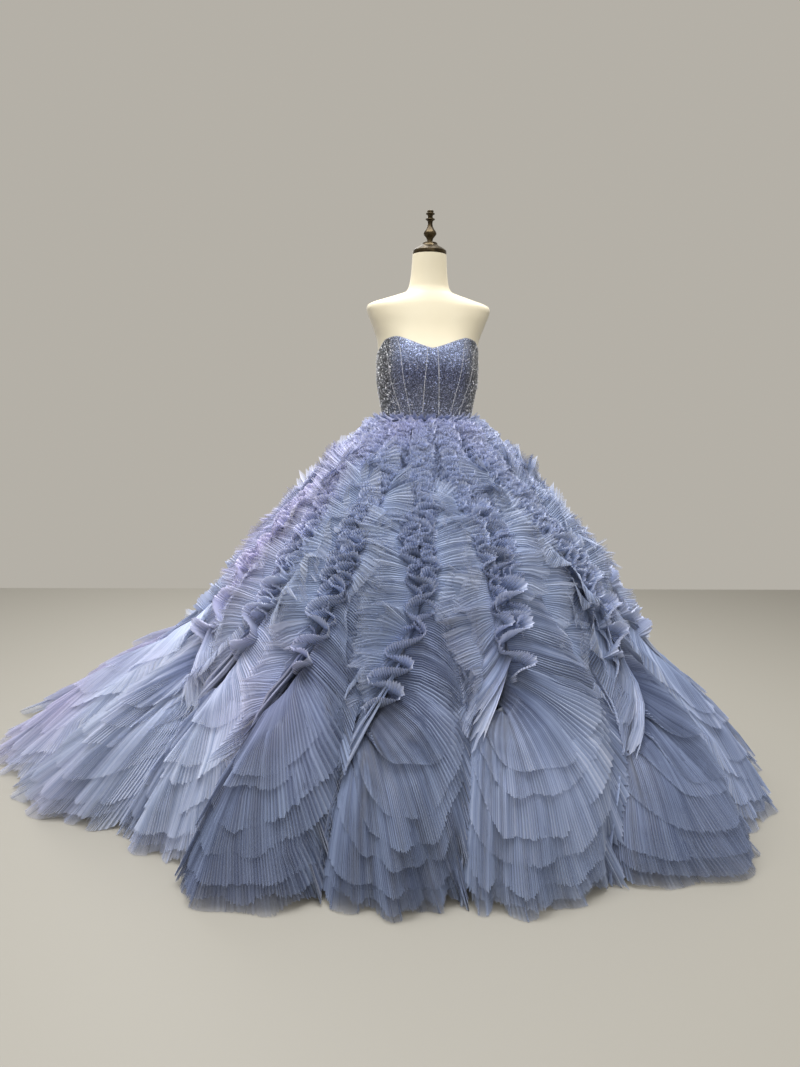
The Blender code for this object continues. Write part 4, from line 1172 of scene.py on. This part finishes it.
CAP = NECK_TOP + SEAM
finial = [
    (0.0004, 1.6800), (0.0060, 1.6795), (0.0092, 1.6780), (0.0098, 1.6755), (0.0085, 1.6735),
    (0.0105, 1.6715), (0.0130, 1.6700), (0.0130, 1.6680), (0.0100, 1.6665), (0.0075, 1.6640),
    (0.0070, 1.6600), (0.0095, 1.6565), (0.0135, 1.6545), (0.0140, 1.6525), (0.0105, 1.6505),
    (0.0075, 1.6470), (0.0070, 1.6400), (0.0085, 1.6320), (0.0125, 1.6245), (0.0175, 1.6180),
    (0.0192, 1.6135), (0.0192, 1.6110), (0.0170, 1.6075), (0.0135, 1.6030), (0.0100, 1.5985),
    (0.0085, 1.5940), (0.0085, 1.5905), (0.0120, 1.5885), (0.0205, 1.5865), (0.0225, 1.5845),
    (0.0225, 1.5825), (0.0235, 1.5800), (0.0290, 1.5760), (0.0375, 1.5715), (0.0440, 1.5670),
    (0.0465, 1.5650), (0.0490, 1.5630), (0.0495, 1.5605), (0.0495, CAP + 0.0010), (0.0488, CAP),
]
turned_finial = turned("turned_finial", "form_finial", finial, bronze, 64)
pole_top, pole_low = TORSO_BOTTOM - SEAM, 0.032 + SEAM
pole = [
    (0.0295, pole_top), (0.0300, pole_top - 0.0008), (0.0300, pole_top - 0.0055),
    (0.0290, pole_top - 0.0070), (0.0165, pole_top - 0.0118), (0.0160, pole_top - 0.0130),
    (0.0160, pole_low),
]
turned("turned_pole", "form_pole", pole, steel, 40)
base = [
    (0.0335, 0.0320), (0.0345, 0.0312), (0.0360, 0.0265), (0.0400, 0.0225), (0.0900, 0.0202),
    (0.1560, 0.0182), (0.1620, 0.0178), (0.1670, 0.0160), (0.1695, 0.0130), (0.1700, 0.0095),
    (0.1700, 0.0010), (0.1690, 0.0),
]
turned("turned_base", "form_base", base, base_paint, 72)
print("the finial has", len(turned_finial.data.polygons), "faces")

# %% [markdown]
# The bodice is covered with tiny glass beads on blue net. Beads this small can't be made one by one, so a
# Voronoi pattern, which splits the surface into random cells, gives every cell its own brightness and its own
# tilt; the brightest cells are painted glints. The cloth is lightest over the bust and greyer at the sides.

# %% The beaded cloth
beaded = Finish("beaded_cloth", (0.10, 0.12, 0.20), 0.36, 0.35)
cells, coarse = beaded.cells(800.0), beaded.cells(420.0)
x, _, z = beaded.split(beaded.place)
spread = beaded.math("ADD", z, beaded.math("MULTIPLY", beaded.noise(18.0, 3.0), 0.06))
rise = beaded.math("DIVIDE", beaded.math("SUBTRACT", spread, 1.08), 0.26)
ground = beaded.ramp(rise, (0.0, (0.140, 0.150, 0.185)), (0.35, (0.100, 0.108, 0.145)),
                     (0.58, (0.085, 0.095, 0.150)), (0.80, (0.165, 0.195, 0.290)),
                     (1.0, (0.190, 0.215, 0.290)))
at_side = beaded.ramp(beaded.math("ABSOLUTE", x), (0.085, BLACK), (0.125, WHITE))
ground = beaded.mix(at_side, ground, (0.075, 0.078, 0.082))
# Painted glints: in both patterns the cells differ at random, and the brightest, above white, stand for beads
# catching the light
glass = beaded.ramp(cells[0], (0.0, (0.35, 0.37, 0.45)), (0.55, (0.8, 0.82, 0.9)),
                    (0.80, (1.7, 1.75, 1.9)), (0.93, (3.6, 3.7, 3.9)))
glints = beaded.ramp(coarse[1], (0.0, (0.7, 0.7, 0.7)), (0.86, (1.1, 1.1, 1.1)),
                     (0.95, (3.2, 3.3, 3.5)))
beaded.set(Base_Color=beaded.mix(1.0, beaded.mix(1.0, ground, glass, "MULTIPLY"), glints, "MULTIPLY"))
beaded.bump(cells[2], 0.0009, 0.8)

# %% [markdown]
# The bodice is nine panels that follow the form a few millimetres off it. A panel is a thin closed shell: an
# outer face, an inner face and a rim between them. It is pressed in a little along its seams, where the
# boning holds it.

# %% The bodice's surface
# Seams: the panel that ends there, azimuth at the top edge and at the waist
BODICE_SEAMS = [("centre_front", 4.5, 9.0), ("front", 38.0, 23.0), ("side_front", 60.0, 36.0),
                ("side", 112.0, 108.0), ("back", 180.0, 180.0)]
BODICE_RADIUS = 0.14
SEAM_TURN = math.degrees(SEAM / 2.0 / BODICE_RADIUS)


def bodice_point(azimuth, height, proud):
    """A point that stands off the form's surface, square to it."""
    here = torso_point(azimuth, height)
    round_it = torso_point(azimuth + 0.4, height) - torso_point(azimuth - 0.4, height)
    up_it = torso_point(azimuth, height + 0.001) - torso_point(azimuth, height - 0.001)
    return here + unit(np.cross(round_it, up_it)) * np.asarray(proud)[..., None]


def panel_grid(first, last, proud, rows, columns, pressed=0.0):
    """A panel's face: azimuth between its two seams, height from the top edge to the waist."""
    across = np.linspace(0.0, 1.0, columns)[None, :]
    down = np.linspace(0.0, 1.0, rows)[:, None]
    left = first[0] + (first[1] - first[0]) * down
    right = last[0] + (last[1] - last[0]) * down
    azimuth = left + (right - left) * across
    edge = bodice_top(np.abs(first[0] + (last[0] - first[0]) * across))
    height = edge + (WAIST_HEIGHT + SEAM - edge) * down
    puff = proud - pressed * (2.0 * across - 1.0) ** 8 + 0.0 * down
    return bodice_point(azimuth, height, puff)


def panel(name, first, last, columns, rows=40):
    """A closed shell: the outer face, the inner one turned round, and a rim."""
    outer = panel_grid(first, last, FORM_EASE + CLOTH, rows, columns, 0.0005)
    inner = panel_grid(first, last, FORM_EASE, rows, columns)
    quads, count = grid_quads(rows, columns), rows * columns
    number = np.arange(count).reshape(rows, columns)
    rim = np.concatenate([number[0], number[1:, -1], number[-1, -2::-1], number[-2:0:-1, 0]])
    beside = np.roll(rim, -1)
    edge = np.stack([rim, beside, beside + count, rim + count], axis=-1)
    faces = np.concatenate([quads, quads[:, ::-1] + count, edge])
    return add_piece(name, mesh_of(name, [outer, inner], faces.tolist(), 50.0), beaded)


def pulled(azimuth, way):
    """A seam's azimuths at its top and bottom, moved by half of the seam's gap."""
    return (azimuth[0] + way * SEAM_TURN, azimuth[1] + way * SEAM_TURN)


panels = {"centre_front": ((-4.5, -9.0), (4.5, 9.0))}
for (_, *near), (name, *far) in zip(BODICE_SEAMS[:-1], BODICE_SEAMS[1:]):
    panels[f"{name}_right"] = (tuple(near), tuple(far))
    panels[f"{name}_left"] = ((-far[0], -far[1]), (-near[0], -near[1]))
for name, (first, last) in panels.items():
    width = abs(last[0] - first[0])
    cloth = panel(f"beaded_{name}", pulled(first, 1.0), pulled(last, -1.0), 8 + int(width / 2.2))
    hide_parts(f"bodice_{name}")
    tall = 0.18 if "back" in name else 0.20
    surface_area(cloth) / 2.0 / tall
print("the bodice has", len(panels), "panels")

# %% [markdown]
# Larger beads run along the seams and the top edge, and crystals are scattered between them, thickest at the
# sides. They are one small faceted stone, repeated: eight faces are enough at this size.


# %% Beads and crystals
def stones(name, azimuth, height, size, rng):
    """Octahedra of given sizes that stand on the bodice, each turned by a random angle."""
    centre = bodice_point(azimuth, height, FORM_EASE + CLOTH + 0.35 * size)
    out = unit(bodice_point(azimuth, height, 1.0 + 0.0 * size) - bodice_point(azimuth, height, 0.0 * size))
    side = unit(np.cross(np.array([0.0, 0.0, 1.0]), out))
    up = np.cross(out, side)
    turn = rng.uniform(0.0, math.pi, len(size))[:, None]
    a, b = side * np.cos(turn) + up * np.sin(turn), up * np.cos(turn) - side * np.sin(turn)
    corners = np.stack([a, b, -a, -b, out * 0.8, -out * 0.5], axis=1) * size[:, None, None] + centre[:, None]
    face = np.array([(0, 1, 4), (1, 2, 4), (2, 3, 4), (3, 0, 4), (1, 0, 5), (2, 1, 5), (3, 2, 5), (0, 3, 5)])
    faces = (face[None] + 6 * np.arange(len(size))[:, None, None]).reshape(-1, 3)
    return add_piece(name, mesh_of(name, corners, faces.tolist()), crystal)


crystal = Finish("crystal", (0.90, 0.92, 0.96), 0.25, 0.10)
crystal.set(Base_Color=crystal.ramp(crystal.noise(300.0, 1.0), (0.4, (0.70, 0.72, 0.78)),
                                    (0.6, (0.96, 0.97, 1.00))))
rng = np.random.default_rng(STONE_SEED)
SEAM_COUNT, WAIST_COUNT, EDGE_COUNT, SCATTERED = 90, 34, 260, 3200
lines = []


def string_beads(azimuth, height, size, smallest, largest):
    """One line of beads, whose sizes vary between two shares of the usual one."""
    lines.append((azimuth, height, size * rng.uniform(smallest, largest, azimuth.shape)))


# Along the seams, along two slanting lines at the front, and along the top edge
for _, top, waist in BODICE_SEAMS[:-1]:
    for way in (-1.0, 1.0):
        along = np.linspace(0.01, 0.99, SEAM_COUNT)
        along = along + rng.normal(0.0, 0.002, along.shape)
        top_height = float(bodice_top(top))
        string_beads(way * (top + (waist - top) * along),
                     top_height - 0.002 + (WAIST_HEIGHT + 0.004 - top_height) * along, 0.00120, 0.75, 1.25)
for way in (-1.0, 1.0):
    along = np.linspace(0.0, 1.0, WAIST_COUNT)
    string_beads(way * (66.0 - 38.0 * along), 1.185 - 0.105 * along, 0.0010, 0.7, 1.3)
azimuth = np.linspace(-180.0, 180.0, EDGE_COUNT, endpoint=False)
string_beads(azimuth, bodice_top(np.abs(azimuth)) - 0.0018, 0.0009, 0.7, 1.2)
seam_beads = stones("seam_beads", *map(np.concatenate, zip(*lines)), rng)

LARGE_SHARE, SIDE_FROM, SIDE_OVER = 0.10, 34.0, 20.0
azimuth = rng.uniform(-180.0, 180.0, SCATTERED)
share = rng.random(SCATTERED)
top_height = bodice_top(np.abs(azimuth))
height = WAIST_HEIGHT + 0.002 + (top_height - 0.004 - WAIST_HEIGHT) * share
size = 0.0008 * rng.uniform(0.6, 1.0, SCATTERED)
size = size * (1.0 + 1.1 * (rng.random(SCATTERED) > 1.0 - LARGE_SHARE))
size = size * (1.0 + 1.05 * ease((np.abs(azimuth) - SIDE_FROM) / SIDE_OVER))
stones("crystals", azimuth, height, size, rng)
print("the bodice has", len(seam_beads.data.polygons) // 8, "beads and", SCATTERED, "crystals")

# %% [markdown]
# The zip closes the centre back. Its slider and its tab keep the shapes of the solids, and its teeth are two
# rows of small blocks that mesh on the centre line.

# %% The zip
TOOTH_STEP, TOOTH_ASIDE = 0.0022, 0.0006
TOOTH_HALF = (0.0011, 0.00045, 0.0008)  # half of a tooth's width, depth and height
zip_metal = Finish("zip_metal", (0.55, 0.56, 0.60), 0.28, 1.0)
scuffs = zip_metal.math("MULTIPLY", zip_metal.noise(400.0, 3.0), 0.3)
zip_metal.set(Roughness=zip_metal.math("ADD", scuffs, 0.15))
for name in ("zip_slider", "zip_pull"):
    metal = nodes[name]
    metal.data.materials.clear()
    metal.data.materials.append(zip_metal.material)

low_end, high_end = WAIST_HEIGHT + 0.004, float(bodice_top(180.0)) - 0.003
teeth_count = int((high_end - low_end) / TOOTH_STEP)
tooth_height = low_end + np.arange(teeth_count) * TOOTH_STEP
corner = np.array([(x, y, z) for z in (-1, 1) for y in (-1, 1) for x in (-1, 1)], float) * TOOTH_HALF
proud = np.full(teeth_count, FORM_EASE + CLOTH - 0.0001)
centre = bodice_point(np.full(teeth_count, 180.0), tooth_height, proud)
centre[:, 0] -= ridges(teeth_count) * TOOTH_ASIDE
block = np.array([(0, 2, 3, 1), (4, 5, 7, 6), (0, 1, 5, 4), (2, 6, 7, 3), (0, 4, 6, 2), (1, 3, 7, 5)])
faces = (block[None] + 8 * np.arange(teeth_count)[:, None, None]).reshape(-1, 4)
add_piece("zip_teeth", mesh_of("zip_teeth", centre[:, None] + corner[None], faces.tolist()), zip_metal)
print("the zip has", teeth_count, "teeth")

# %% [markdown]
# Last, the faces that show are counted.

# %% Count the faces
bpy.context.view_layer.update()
shown = [thing.data for thing in bpy.data.objects if thing.type == "MESH" and not thing.hide_render]
print("faces that show:", sum(len(mesh.polygons) for mesh in shown))
